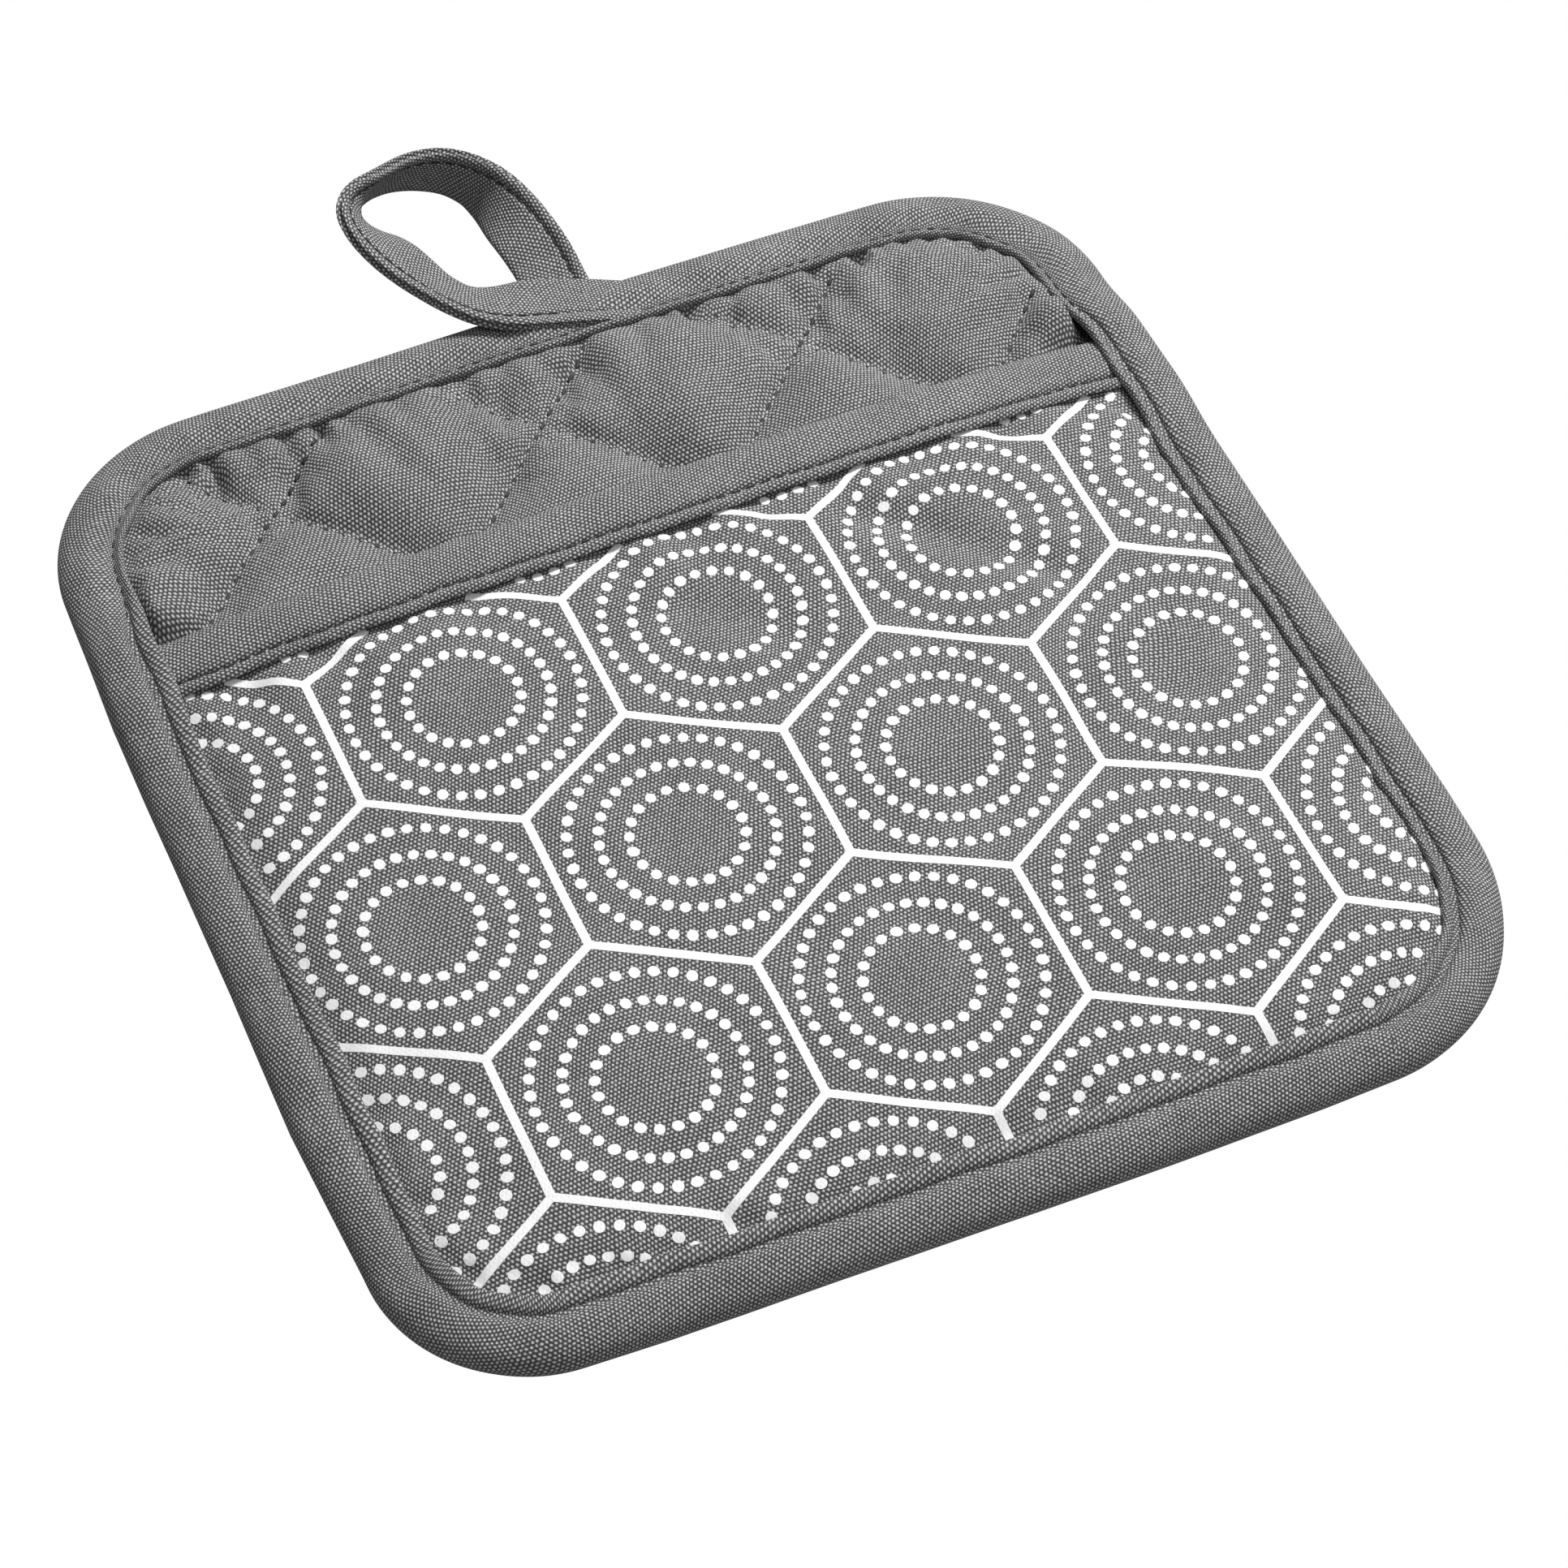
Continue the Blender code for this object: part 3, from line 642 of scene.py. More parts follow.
class Nodes:
    """Short calls for a material's node tree."""

    def __init__(self, name):
        self.material = bpy.data.materials.new(name)
        self.material.use_nodes = True
        self.tree = self.material.node_tree
        self.shader = self.tree.nodes["Principled BSDF"]

    def new(self, kind, **values):
        node = self.tree.nodes.new(kind)
        for key, value in values.items():
            if key.startswith("in_"):
                node.inputs[key[3:].replace("_", " ")].default_value = value
            else:
                setattr(node, key, value)
        return node

    def link(self, a, b):
        self.tree.links.new(a, b)

    def set(self, **values):
        for key, value in values.items():
            self.shader.inputs[key.replace("_", " ")].default_value = value

    def finish(self, colour, height, strength, distance):
        """Connect the colour and a bump of the height; returns the material."""
        self.link(colour, self.shader.inputs["Base Color"])
        bump = self.new("ShaderNodeBump", in_Strength=strength, in_Distance=distance)
        self.link(height, bump.inputs["Height"])
        self.link(bump.outputs[0], self.shader.inputs["Normal"])
        return self.material

    def math(self, operation, a, b=None):
        node = self.new("ShaderNodeMath", operation=operation)
        for k, value in enumerate((a, b)):
            if value is None:
                continue
            if isinstance(value, (int, float)):
                node.inputs[k].default_value = value
            else:
                self.link(value, node.inputs[k])
        return node.outputs[0]

    def add(self, a, b):
        return self.math("ADD", a, b)

    def mul(self, a, b):
        return self.math("MULTIPLY", a, b)

    def cos(self, a):
        return self.math("COSINE", a)

    def ramp(self, fac, stops):
        node = self.new("ShaderNodeValToRGB")
        while len(node.color_ramp.elements) < len(stops):
            node.color_ramp.elements.new(0.5)
        for element, (at, colour) in zip(node.color_ramp.elements, stops):
            element.position = at
            element.color = tuple(colour) + (1.0,)
        self.link(fac, node.inputs[0])
        return node.outputs[0]

    def noise(self, vector, scale, detail=2.0):
        node = self.new("ShaderNodeTexNoise", in_Scale=scale, in_Detail=detail)
        self.link(vector, node.inputs["Vector"])
        return node.outputs[0]

    def grain(self, vector, scale, detail, reach):
        """Stretched noise whose middle is 0."""
        noise = self.noise(self.scaled(vector, scale), 1.0, detail)
        return self.mul(self.math("SUBTRACT", noise, 0.5), reach)

    def scaled(self, vector, scale, turn=0.0):
        node = self.new("ShaderNodeMapping", in_Scale=scale, in_Rotation=(0, 0, turn))
        self.link(vector, node.inputs["Vector"])
        return node.outputs[0]


def chambray(name, turn=0.0):
    """Plain weave whose pale weft shows as staggered dots between dark warp, with uneven yarns."""
    n = Nodes(name)
    uv = n.new("ShaderNodeUVMap", uv_map="weave").outputs[0]
    turned = n.scaled(uv, (1, 1, 1), turn)
    split = n.new("ShaderNodeSeparateXYZ")
    n.link(turned, split.inputs[0])
    sway = n.grain(turned, (24, 24, 1), 1.0, 0.0060)
    shift = n.add(sway, n.grain(turned, (500, 500, 1), 1.0, 0.0003))
    u = n.mul(n.add(split.outputs[0], shift), 2 * math.pi * WARP_PER_METRE)
    v = n.mul(n.math("SUBTRACT", split.outputs[1], shift), 2 * math.pi * WEFT_PER_METRE)
    cross = n.mul(n.cos(u), n.cos(v))
    rows = n.cos(n.mul(v, 2.0))
    dots = n.mul(n.add(n.mul(cross, 2.0), rows), 1 / 3)
    level = n.add(n.mul(dots, 0.80), 0.30)
    # Scale of each grain that makes the yarns uneven, and its share
    unevenness = (
        ((WARP_PER_METRE * 0.16, WEFT_PER_METRE * 4, 1), 0.45),
        ((WARP_PER_METRE * 2, WEFT_PER_METRE * 0.3, 1), 0.30),
        ((WARP_PER_METRE * 1.2, WEFT_PER_METRE * 2.4, 1), 0.95),
        ((60, 60, 1), 0.25),
    )
    for scale, share in unevenness:
        level = n.add(level, n.grain(turned, scale, 2.0, share))
    stops = ((0.02, 0.0), (0.30, 0.18), (0.65, 0.70), (1.0, 1.0))
    colour = n.ramp(level, tuple((at, (mix(WARP_TONE, WEFT_TONE, share),) * 3) for at, share in stops))
    n.set(Roughness=0.90, Specular_IOR_Level=0.20, Sheen_Weight=0.05, Sheen_Roughness=0.5)
    height = n.add(dots, n.mul(level, 0.3))
    return n.finish(colour, height, 0.7, 0.00015)


def plain(name, colour, roughness, grain, relief, spread=0.12):
    """Even colour with a fine grain, in place coordinates."""
    n = Nodes(name)
    place = n.new("ShaderNodeTexCoord").outputs["Object"]
    fine = n.noise(place, grain, 3.0)
    broad = n.noise(place, grain / 12, 2.0)
    level = n.add(n.mul(fine, 0.6), n.mul(broad, 0.4))
    low = [c * (1 - spread) for c in colour]
    high = [min(1.0, c * (1 + spread)) for c in colour]
    n.set(Roughness=roughness)
    return n.finish(n.ramp(level, ((0.3, low), (0.7, high))), level, 0.6, relief)


def printed(name):
    """White ink that lets a trace of the weave through."""
    n = Nodes(name)
    place = n.new("ShaderNodeTexCoord").outputs["Object"]
    split = n.new("ShaderNodeSeparateXYZ")
    n.link(place, split.inputs[0])
    u = n.cos(n.mul(split.outputs[0], 2 * math.pi * WARP_PER_METRE))
    v = n.cos(n.mul(split.outputs[1], 2 * math.pi * WEFT_PER_METRE))
    cross = n.mul(u, v)
    fine = n.math("SUBTRACT", n.noise(place, 1800, 2.0), 0.5)
    level = n.add(n.mul(cross, 0.30), n.add(fine, 0.5))
    n.set(Roughness=0.6, Specular_IOR_Level=0.3)
    tones = n.ramp(level, tuple((at, (tone,) * 3) for at, tone in ((0.1, 0.70), (0.6, 0.81), (1.0, 0.83))))
    return n.finish(tones, level, 0.35, 0.00006)


STRAIGHT_WEAVE = chambray("straight_chambray")
BIAS_WEAVE = chambray("bias_chambray", turn=math.radians(-45))
BATTING = plain("batting", (0.80, 0.78, 0.75), 1.0, 900, 0.0004)
INK = printed("print_ink")
# Near-black thread: partly the thread's own dark colour, partly painted shade of the stitch pits and the
# stitched grooves
THREAD_AND_PAINTED_SHADE = plain("sewing_thread_and_painted_shade", (0.020, 0.020, 0.021), 0.6, 2500, 0.0001, 0.35)


def add_sheet(name, cloth, places, kept, node, slot, back=None, material=STRAIGHT_WEAVE):
    return add_piece(name, *sheet_mesh(cloth, places, kept, back), node=node, slot=slot, material=material)



# Pad

def pad_front_places(cloth):
    """Quilted front before it is blown up: puffs, quilting lines and the gathers at the seam."""
    x, y, way, seam = cloth.x, cloth.y, cloth.way, cloth.seam
    under = pocket_share(y)
    free = ease(seam / mix(SEAM_SLOPE_ABOVE, SEAM_SLOPE, under))
    high = mix(PUFF_HEIGHT, PUFF_HEIGHT_UNDER_POCKET, under)
    low = CREASE_HEIGHT - (PUFF_HEIGHT - PUFF_HEIGHT_UNDER_POCKET) / 2 * under
    z = mix(pad_seam_top(y), mix(low, high, puff(x, y)), free)
    everywhere, beside_lines = GATHER_SHARES
    share = everywhere + beside_lines * bump_at(np.minimum(*quilt_near(x, y)), GATHER_LINE)
    gathers = creases(way, seam, **GATHERS) * share * ease(seam / GATHER_START)
    roll = bump_at(seam - ROLL_IN, ROLL_WIDTH) * ease(seam / SEAM_HELD)
    z = z + (ROLL_HEIGHT * roll - GATHER_DEPTH * gathers) * (1 - under)
    ripples = RIPPLE * waves(x + 0.4 * y, RIPPLE_PERIOD, 3)
    z = z + (ripples - WRINKLE_DEPTH * creases(way, seam, **WRINKLES)) * free * (1 - under)
    above = y - MOUTH
    swell = ease((above - SWELL_START[0]) / SWELL_START[1])
    swell = swell * (1 - ease((above - SWELL_STOP[0]) / SWELL_STOP[1]))
    swell = swell * bump_at(seam - SWELL_IN, SWELL_WIDTH) * ease(seam / SWELL_START[0])
    return np.stack([x, y, z + SWELL_HEIGHT * swell], 2)


def pad_back_places(cloth):
    free = ease(cloth.seam / SEAM_SLOPE)
    soft = (1 - puff(cloth.x, cloth.y)) ** 2
    z = mix(PAD_SEAM_BASE, CREASE_UNDERSIDE * 1.2 * soft, free)
    return np.stack([cloth.x, cloth.y, z], 2)


front = pad_front_places(COARSE)
on_line = np.minimum(*quilt_near(COARSE.x, COARSE.y)) < ON_LINE
held = (COARSE.seam < SEAM_HELD) | on_line | (COARSE.y < MOUTH - HELD_UNDER_POCKET)
blown = relax(COARSE, front, held, growth=0.035, pressure=5.0)
front = capped(front, blown, PAD_CAP)
front = finer(front)
near_a, near_b = quilt_near(FINE.x, FINE.y)
near_line = np.minimum(near_a, near_b)
folds = LONG_FOLD_DEPTH * creases(FINE.way, FINE.seam, **LONG_FOLDS) * ease(FINE.seam / LONG_FOLD_START)
front[..., 2] -= folds * (1 - pocket_share(FINE.y)) * (1 - bump_at(near_line, LONG_FOLD_LINE))
sewn = FINE.seam > SEWN_FROM
crossing = (FINE.i[None, :] % 2 == 0) & (FINE.j[:, None] % 2 == 0) & sewn
front[..., 2] -= THREAD_PULL * ((near_line < ON_LINE) & sewn)
front[..., 2] -= crossing * THREAD_PULL * ((near_b < ON_LINE) + 0.5 * (near_a < ON_LINE))
back = pad_back_places(FINE)
front[..., 2] = np.maximum(front[..., 2], back[..., 2] + 2 * CLOTH + 2 * GAP + LEAST_ROOM)

quilted_front = add_sheet("quilted_front", FINE, front, FINE.kept, "pad_front_fabric", "front_cloth")
back_inner = back + np.array([0, 0, CLOTH])
quilted_back = add_sheet(
    "quilted_back", FINE, back_inner, FINE.kept, "pad_back_fabric", "back_cloth", back)
top_fill = front[::2, ::2].copy()
low_fill = back[::2, ::2] + np.array([0, 0, CLOTH + GAP])
top_fill[..., 2] = np.maximum(lowest_near(front[..., 2]) - CLOTH - GAP, low_fill[..., 2] + LEAST_FILL)
pad_batting = add_sheet(
    "pad_batting", COARSE, top_fill, COARSE.kept, "pad_wadding", "wadding", low_fill, BATTING)

# Pocket

def valley(x, y, start, end, width):
    """1 along a short valley of the pocket's face, less away from it."""
    run = np.subtract(end, start)
    length = np.linalg.norm(run)
    along = ((x - start[0]) * run[0] + (y - start[1]) * run[1]) / length
    aside = ((y - start[1]) * run[0] - (x - start[0]) * run[1]) / length
    beyond = np.maximum(np.maximum(-along, along - length), 0.0)
    return bump_at(aside, width) * bump_at(beyond, VALLEY_END)


def pocket_places(cloth, lift):
    """Printed front of the pocket before it is blown up."""
    x, y, depth = cloth.x, cloth.y, cloth.seam
    z = pocket_base(y, lift) + pocket_thickness(lift)
    gathers = creases(cloth.way, depth, **POCKET_GATHERS) * ease(depth / POCKET_GATHER_START)
    z = z - POCKET_GATHER_DEPTH * gathers
    below = np.maximum(BAND_LOW - mouth_sag(x) - y, 0.0)
    dips = np.clip(0.5 + 0.5 * waves(x, DIP_PERIOD, 12), 0, 1) * ease(depth / DIP_START)
    for deep, place, width in MOUTH_DIPS:
        z = z - deep * dips * bump_at(below - place, width)
    free = ease(depth / WAVE_START) * ease(below / WAVE_START_BELOW)
    for height, slant_x, slant_y, period, seed in POCKET_WAVES:
        z = z + height * waves(slant_x * x + slant_y * y, period, seed) * free
    return np.stack([x, y, z], 2)


def pocket_ends(cloth):
    """The part of a lattice that the pocket's cloths cover."""
    return cloth.kept & (cloth.y < MOUTH - mouth_sag(cloth.x) - POCKET_FOLD - 2 * GAP)


lift = pocket_lift(COARSE.x, COARSE.y)
pocket = pocket_places(COARSE, lift)
pocket_kept = pocket_ends(COARSE)
held = (COARSE.seam < SEAM_HELD) | (COARSE.y > BAND_LOW - mouth_sag(COARSE.x))
COARSE.kept, whole = pocket_kept, COARSE.kept
blown = relax(COARSE, pocket, held, growth=0.012, pressure=1.2)
COARSE.kept = whole
pocket = capped(pocket, blown, POCKET_CAP)
pocket = finer(pocket)
for start, end, width, depth in POCKET_VALLEYS:
    pocket[..., 2] -= depth * valley(FINE.x, FINE.y, start, end, width)
fine_lift = pocket_lift(FINE.x, FINE.y)
fine_base = pocket_base(FINE.y, fine_lift)
pocket[..., 2] = np.maximum(pocket[..., 2], fine_base + 2 * CLOTH + 2 * GAP)
POCKET = pocket

printed_front = add_sheet(
    "printed_pocket_front", FINE, POCKET, pocket_ends(FINE), "pocket_front", "print_cloth")
lining = np.stack([COARSE.x, COARSE.y, pocket_base(COARSE.y, lift)], 2)
lining_top = lining + np.array([0, 0, CLOTH])
pocket_lining = add_sheet(
    "pocket_lining_cloth", COARSE, lining_top, pocket_kept, "pocket_lining", "lining_cloth", lining)
fill_low = lining_top + np.array([0, 0, GAP])
fill_top = fill_low.copy()
under_cloth = lowest_near(POCKET[..., 2]) - CLOTH - GAP
fill_top[..., 2] = np.maximum(under_cloth, fill_low[..., 2] + LEAST_POCKET_FILL)
pocket_batting = add_sheet(
    "pocket_batting", COARSE, fill_top, pocket_kept, "pocket_wadding", "wadding", fill_low, BATTING)

# Bound mouth of the pocket

def pulse(way, stitch):
    """Rise and fall of a groove with the stitches of a seam."""
    return math.sin(2 * math.pi * way / stitch["pitch"])


def band_bottom(x, lift):
    """Lower edge of the mouth's band, which strays a little."""
    return MOUTH - MOUTH_SAG * lift - POCKET_BAND + BAND_STRAY * waves(x, 0.022, 42)


def mouth_binding():
    end = PAD_WIDTH / 2 - SIDE_BOW - SHEET_INSET
    xs = np.linspace(-end, end, 150)
    lift_x = np.interp(xs, COLUMN_X, COLUMN_LIFT)
    sections = []
    for x, up in zip(xs, lift_x):
        mouth = MOUTH - MOUTH_SAG * up + MOUTH_STRAY * waves(x, 0.03, 41)
        low = band_bottom(x, up)
        under = pocket_base(MOUTH, up) - GAP - POCKET_FOLD
        face = pocket_base(MOUTH, up) + pocket_thickness(up) + GAP
        top = face + POCKET_FOLD + BAND_RIPPLE * waves(x, 0.025, 43)
        middle = (top + under) / 2
        stitched = STITCH_PULL * pulse(x, TOPSTITCH)
        ring = [(low - 0.0001, face + 0.0001)]
        for across, rise in BAND_SECTION:
            pull = stitched if across == BAND_GROOVE else 0.0
            ring.append((low + across / 1e4, top + rise / 1e4 + pull))
        ring += [
            (mouth - 0.0024, top + 0.0002), (mouth - 0.0009, top - 0.0006),
            (mouth - 0.0001, mix(middle, top, 0.45)), (mouth, middle),
            (mouth - 0.0004, mix(middle, under, 0.75)), (mouth - 0.0014, under + 0.0001),
            (low + 0.004, under), (low, under), (low, under + POCKET_FOLD),
            (mouth - POCKET_FOLD - GAP, under + POCKET_FOLD),
            (mouth - POCKET_FOLD - GAP, face - 0.0002),
        ]
        sections.append([(x, y, z) for y, z in rounded(ring)])
    return np.array(sections), xs


sections, xs = mouth_binding()
pocket_mouth_binding = add_piece(
    "pocket_mouth_binding", *swept_mesh(sections, False, xs[0] - xs),
    node="pocket_binding", slot="binding_cloth", material=BIAS_WEAVE)

# Edge binding and hanging loop

def edge_section(front, dip, groove, swell, low):
    """Folded strip in section: distance in from the outer edge, and height; m is a millimetre."""
    m = 0.001
    crown = (dip + 12.2 * m) / 2 + 0.45 * m
    half = front / 2
    inner = front - BINDING_FOLD

    def at(above, beside_pocket):
        return mix(above, beside_pocket, low) * m

    return (
        (at(12.90, 12.60), inner), (at(13.20, 12.78), front - 0.80 * m),
        (at(13.25, 12.65), front - 0.05 * m),
        (at(12.95, 12.20), front + 0.55 * m),
        (mix(12.35 * m, crown, low), front + at(0.75, 0.35)),
        (dip + at(0.80, 0.95), front + at(0.20, -0.15)),
        (dip + at(0.30, 0.42), front - groove * 0.5), (dip, front - groove),
        (dip - at(0.35, 0.50), front - groove * 0.55),
        (dip - at(1.2, 0.95), front - 0.08 * m),
        (at(8.2, 7.5), front + 0.38 * m + swell), (6.00 * m, front + 0.65 * m + swell),
        (3.90 * m, front - 0.05 * m + swell), (2.20 * m, front - 0.80 * m), (0.75 * m, front - 2.1 * m),
        (0.05 * m, half + 0.5 * m), (0.05 * m, half - 0.6 * m), (0.80 * m, 1.45 * m), (2.4 * m, 0.45 * m),
        (4.2 * m, 0.0), (7.5 * m, 0.0), (9.6 * m, 0.05 * m), (10.4 * m, 0.75 * m), (11.2 * m, 0.05 * m),
        (12.2 * m, 0.0), (12.9 * m, 0.4 * m), (12.8 * m, BINDING_FOLD), (BINDING_SHOULDER, BINDING_FOLD),
        (BINDING_SHOULDER, inner),
    )


def lap(count, way, start=0.0):
    """A sine that runs whole times round the rim."""
    return math.sin(2 * math.pi * (count * way) + start)


def edge_sections():
    out = []
    for k in range(len(EDGE)):
        way = EDGE_WAY[k] / EDGE_LENGTH
        swell = EDGE_SWELL * (lap(41, way, 1.0) + lap(29, way, 4.0) + lap(67, way, 2.0))
        drift = EDGE_DRIFT * (lap(17, way, 0.3) + lap(31, way, 2.2) + lap(47, way, 5.0))
        low = float(pocket_share(EDGE[k][1]))
        groove = mix(GROOVE_DEPTH_TOP, GROOVE_DEPTH, low) * (1 + GROOVE_PUCKER * lap(EDGE_STITCHES, way))
        front = float(binding_front(EDGE[k][1]))
        ring = rounded(edge_section(front, groove_inset(k), groove, swell, low))
        place = edge_place(k, ring[:, :1] * (1 + drift / BINDING_WIDTH))
        out.append(np.column_stack([place, ring[:, 1]]))
    return np.array(out)


def smooth_route(rows, steps):
    """Catmull-Rom curve through the rows, read at even steps."""
    ends = [2 * rows[0] - rows[1]] + list(rows) + [2 * rows[-1] - rows[-2]]
    out = []
    for k in range(steps + 1):
        place = k / steps * (len(rows) - 1)
        span = min(int(place), len(rows) - 2)
        t = place - span
        p0, p1, p2, p3 = ends[span:span + 4]
        curve = 2 * p1 + (p2 - p0) * t + (2 * p0 - 5 * p1 + 4 * p2 - p3) * t ** 2
        out.append((curve + (3 * p1 - p0 - 3 * p2 + p3) * t ** 3) / 2)
    return np.array(out)


def tape_section(share, way):
    """Folded tape of the loop in section: across towards the stitched rim, and through it."""
    fold, rim = -LOOP_TAPE / 2 * mix(LOOP_ROOT_WIDTH, 1.0, share), LOOP_TAPE / 2
    thick = LOOP_THICKNESS / 2 * share
    bead = thick * 1.15
    pull = LOOP_PULL * pulse(way, LOOP_STITCH)
    groove = thick * 0.85 - 0.0007 * share + pull
    upper = (
        (fold + 0.0005, thick * 0.6), (fold + 0.0016, thick * 0.85), (rim - 0.0045, thick * 0.80),
        (rim - 0.0031, thick * 0.85), (rim - 0.0027, groove), (rim - 0.0023, thick * 0.8),
        (rim - 0.0014, bead), (rim - 0.0006, bead * 0.9), (rim, bead * 0.5),
    )
    middle = ((rim - 0.0010, 0.0),)
    lower = tuple((across, -depth) for across, depth in reversed(upper))
    return ((fold, 0.0),) + upper + middle + lower


def loop_sections():
    rows = [np.array(row) / LOOP_UNITS for row in LOOP_ROUTE]
    for row in rows:
        row[1] += TOP_EDGE
    route = smooth_route(rows, 130)
    length = way_along(route[:, :3])
    sections, seams = [], []
    for k, row in enumerate(route):
        ahead, behind = route[min(k + 1, len(route) - 1)][:3], route[max(k - 1, 0)][:3]
        along = (ahead - behind) / np.linalg.norm(ahead - behind)
        across = row[3:6] - along * (row[3:6] @ along)
        across /= np.linalg.norm(across)
        through = np.cross(along, across)
        ring = rounded(tape_section(row[6], length[k]))
        sections.append(row[:3] + ring[:, :1] * across + ring[:, 1:] * through)
        seam = row[:3] + across * (LOOP_TAPE / 2 - LOOP_SEAM_IN)
        depth = (LOOP_THICKNESS / 2 - LOOP_SEAM_SINK) * row[6]
        seams.append((seam + through * depth, through, seam - through * depth, -through))
    return np.array(sections), length, seams


edge = edge_sections()
loop, loop_way, loop_seams = loop_sections()
ring_verts, ring_faces, ring_uv = swept_mesh(edge, True, EDGE_WAY)
loop_verts, loop_faces, loop_uv = swept_mesh(loop, False, loop_way)
verts, faces = joined([(ring_verts, ring_faces), (loop_verts, loop_faces)])
edge_binding = add_piece(
    "edge_binding_and_loop", verts, faces, np.vstack([ring_uv, loop_uv]),
    node="edge_binding", slot="binding_cloth", material=BIAS_WEAVE)

# Stitches, whose near-black thread also paints the shade of stitch pits and stitched grooves

def stitches(path, up, pitch, length, radius, sink=0.0002, first=0.0004):
    """Short threads along a line, each dipping into the cloth at its ends."""
    path, up = np.asarray(path), np.asarray(up)
    at = way_along(path)
    both = np.hstack([path, up])
    parts = []
    sides = 6
    turn = np.arange(sides) * 2 * math.pi / sides
    for start in np.arange(first, at[-1] - length, pitch):
        rings = []
        for t in np.linspace(0, 1, 6):
            where = start + length * t
            here = np.array([np.interp(where, at, both[:, c]) for c in range(6)])
            later = np.array([np.interp(where + 0.0002, at, both[:, c]) for c in range(3)])
            along = later - here[:3]
            along /= max(np.linalg.norm(along), 1e-12)
            lift = here[3:] / np.linalg.norm(here[3:])
            side = np.cross(along, lift)
            side /= np.linalg.norm(side)
            arch = math.sin(math.pi * t)
            wide = radius * (0.35 + 0.65 * arch ** 0.4)
            centre = here[:3] + lift * (arch ** 0.5 * radius * 0.9 - sink)
            rings.append(centre + wide * (np.cos(turn)[:, None] * side + np.sin(turn)[:, None] * lift))
        faces = []
        for low in range(0, 5 * sides, sides):
            for c in range(sides):
                d = (c + 1) % sides
                faces.append((low + c, low + d, low + sides + d, low + sides + c))
        faces += [tuple(range(sides))[::-1], tuple(5 * sides + c for c in range(sides))]
        parts.append((np.vstack(rings), faces))
    return parts


def quilt_paths(cloth, places, keep):
    """Lattice diagonals that are quilting lines, cut where the cloth isn't seen."""
    up = normals(places)
    rows, columns = keep.shape
    size = STITCHES_PER_DIAMOND * 2
    paths = []
    for slope in (1, -1):
        for start in range(-rows, columns + rows):
            j = np.arange(rows)
            i = start + slope * j
            ok = (i >= 0) & (i < columns)
            j, i = j[ok], i[ok]
            if len(j) < 4:
                continue
            if (cloth.i[i[0]] - slope * cloth.j[j[0]]) % size:
                continue
            inside = keep[j, i]
            edges = np.flatnonzero(np.diff(np.r_[0, inside.astype(int), 0]))
            for a, b in zip(edges[::2], edges[1::2]):
                if b - a > 4:
                    paths.append((places[j[a:b], i[a:b]], up[j[a:b], i[a:b]], cloth.i[i[a]] % 2, slope))
    return paths


def thread_piece(name, parts):
    add_piece(name, *joined(parts), slot="thread", material=THREAD_AND_PAINTED_SHADE, smooth_angle=80)


seen_front = (FINE.seam > QUILT_END) & (FINE.y > MOUTH - 0.02)
parts = []
for path, up, odd, slope in quilt_paths(FINE, front, seen_front):
    way = way_along(path)
    thick, half = QUILT_THREADS[slope]
    for hole in range(2 - odd, len(path) - 1, 2):
        # The pitch is longer than any line, so each call makes one stitch
        parts += stitches(path, up, 1.0, 2 * half, thick, QUILT_SINK, first=way[hole] - half)
# The thick near-black threads of the front also paint the shade of its stitch pits
thread_piece("quilting_stitches_front_and_painted_pit_shade", parts)
parts = []
for path, up, _, _ in quilt_paths(FINE, back, FINE.seam > QUILT_END):
    parts += stitches(path, -up, **BACK_STITCH)
thread_piece("quilting_stitches_back", parts)

edge_line = np.array([edge_place(k, groove_inset(k)) for k in range(len(EDGE))])
closed_line = np.vstack([edge_line, edge_line[:1]])
groove = mix(GROOVE_DEPTH_TOP, GROOVE_DEPTH, pocket_share(closed_line[:, 1]))
groove_z = binding_front(closed_line[:, 1]) - groove * 0.6
top_line = np.column_stack([closed_line, groove_z])
low_line = np.column_stack([closed_line, np.full(len(closed_line), LOWER_SEAM)])
flat_up = np.tile([0, 0, 1.0], (len(closed_line), 1))
# These stitches lie in the groove; their near-black thread also paints the groove's shade
parts = stitches(top_line, flat_up, **TOPSTITCH)
parts += stitches(low_line, -flat_up, **TOPSTITCH)
thread_piece("edge_stitches", parts)

xs = np.linspace(-PAD_WIDTH / 2 + BINDING_WIDTH, PAD_WIDTH / 2 - BINDING_WIDTH, 160)
up_x = np.interp(xs, COLUMN_X, COLUMN_LIFT)
line_z = pocket_base(MOUTH, up_x) + pocket_thickness(up_x) + GAP + POCKET_FOLD - MOUTH_STITCH_SINK
mouth_line = np.column_stack([xs, band_bottom(xs, up_x) + BAND_GROOVE / 1e4, line_z])
thread_piece("pocket_mouth_stitches", stitches(mouth_line, flat_up[:160], **TOPSTITCH))

parts = []
for side, first in zip((0, 2), LOOP_SEAM_STARTS):
    seams = loop_seams[first:]
    parts += stitches([s[side] for s in seams], [s[side + 1] for s in seams], **LOOP_STITCH)
thread_piece("loop_stitches", parts)

# Print

SMOOTH_Z = fine_base + pocket_thickness(fine_lift)
POCKET_NORMALS = normals(POCKET)


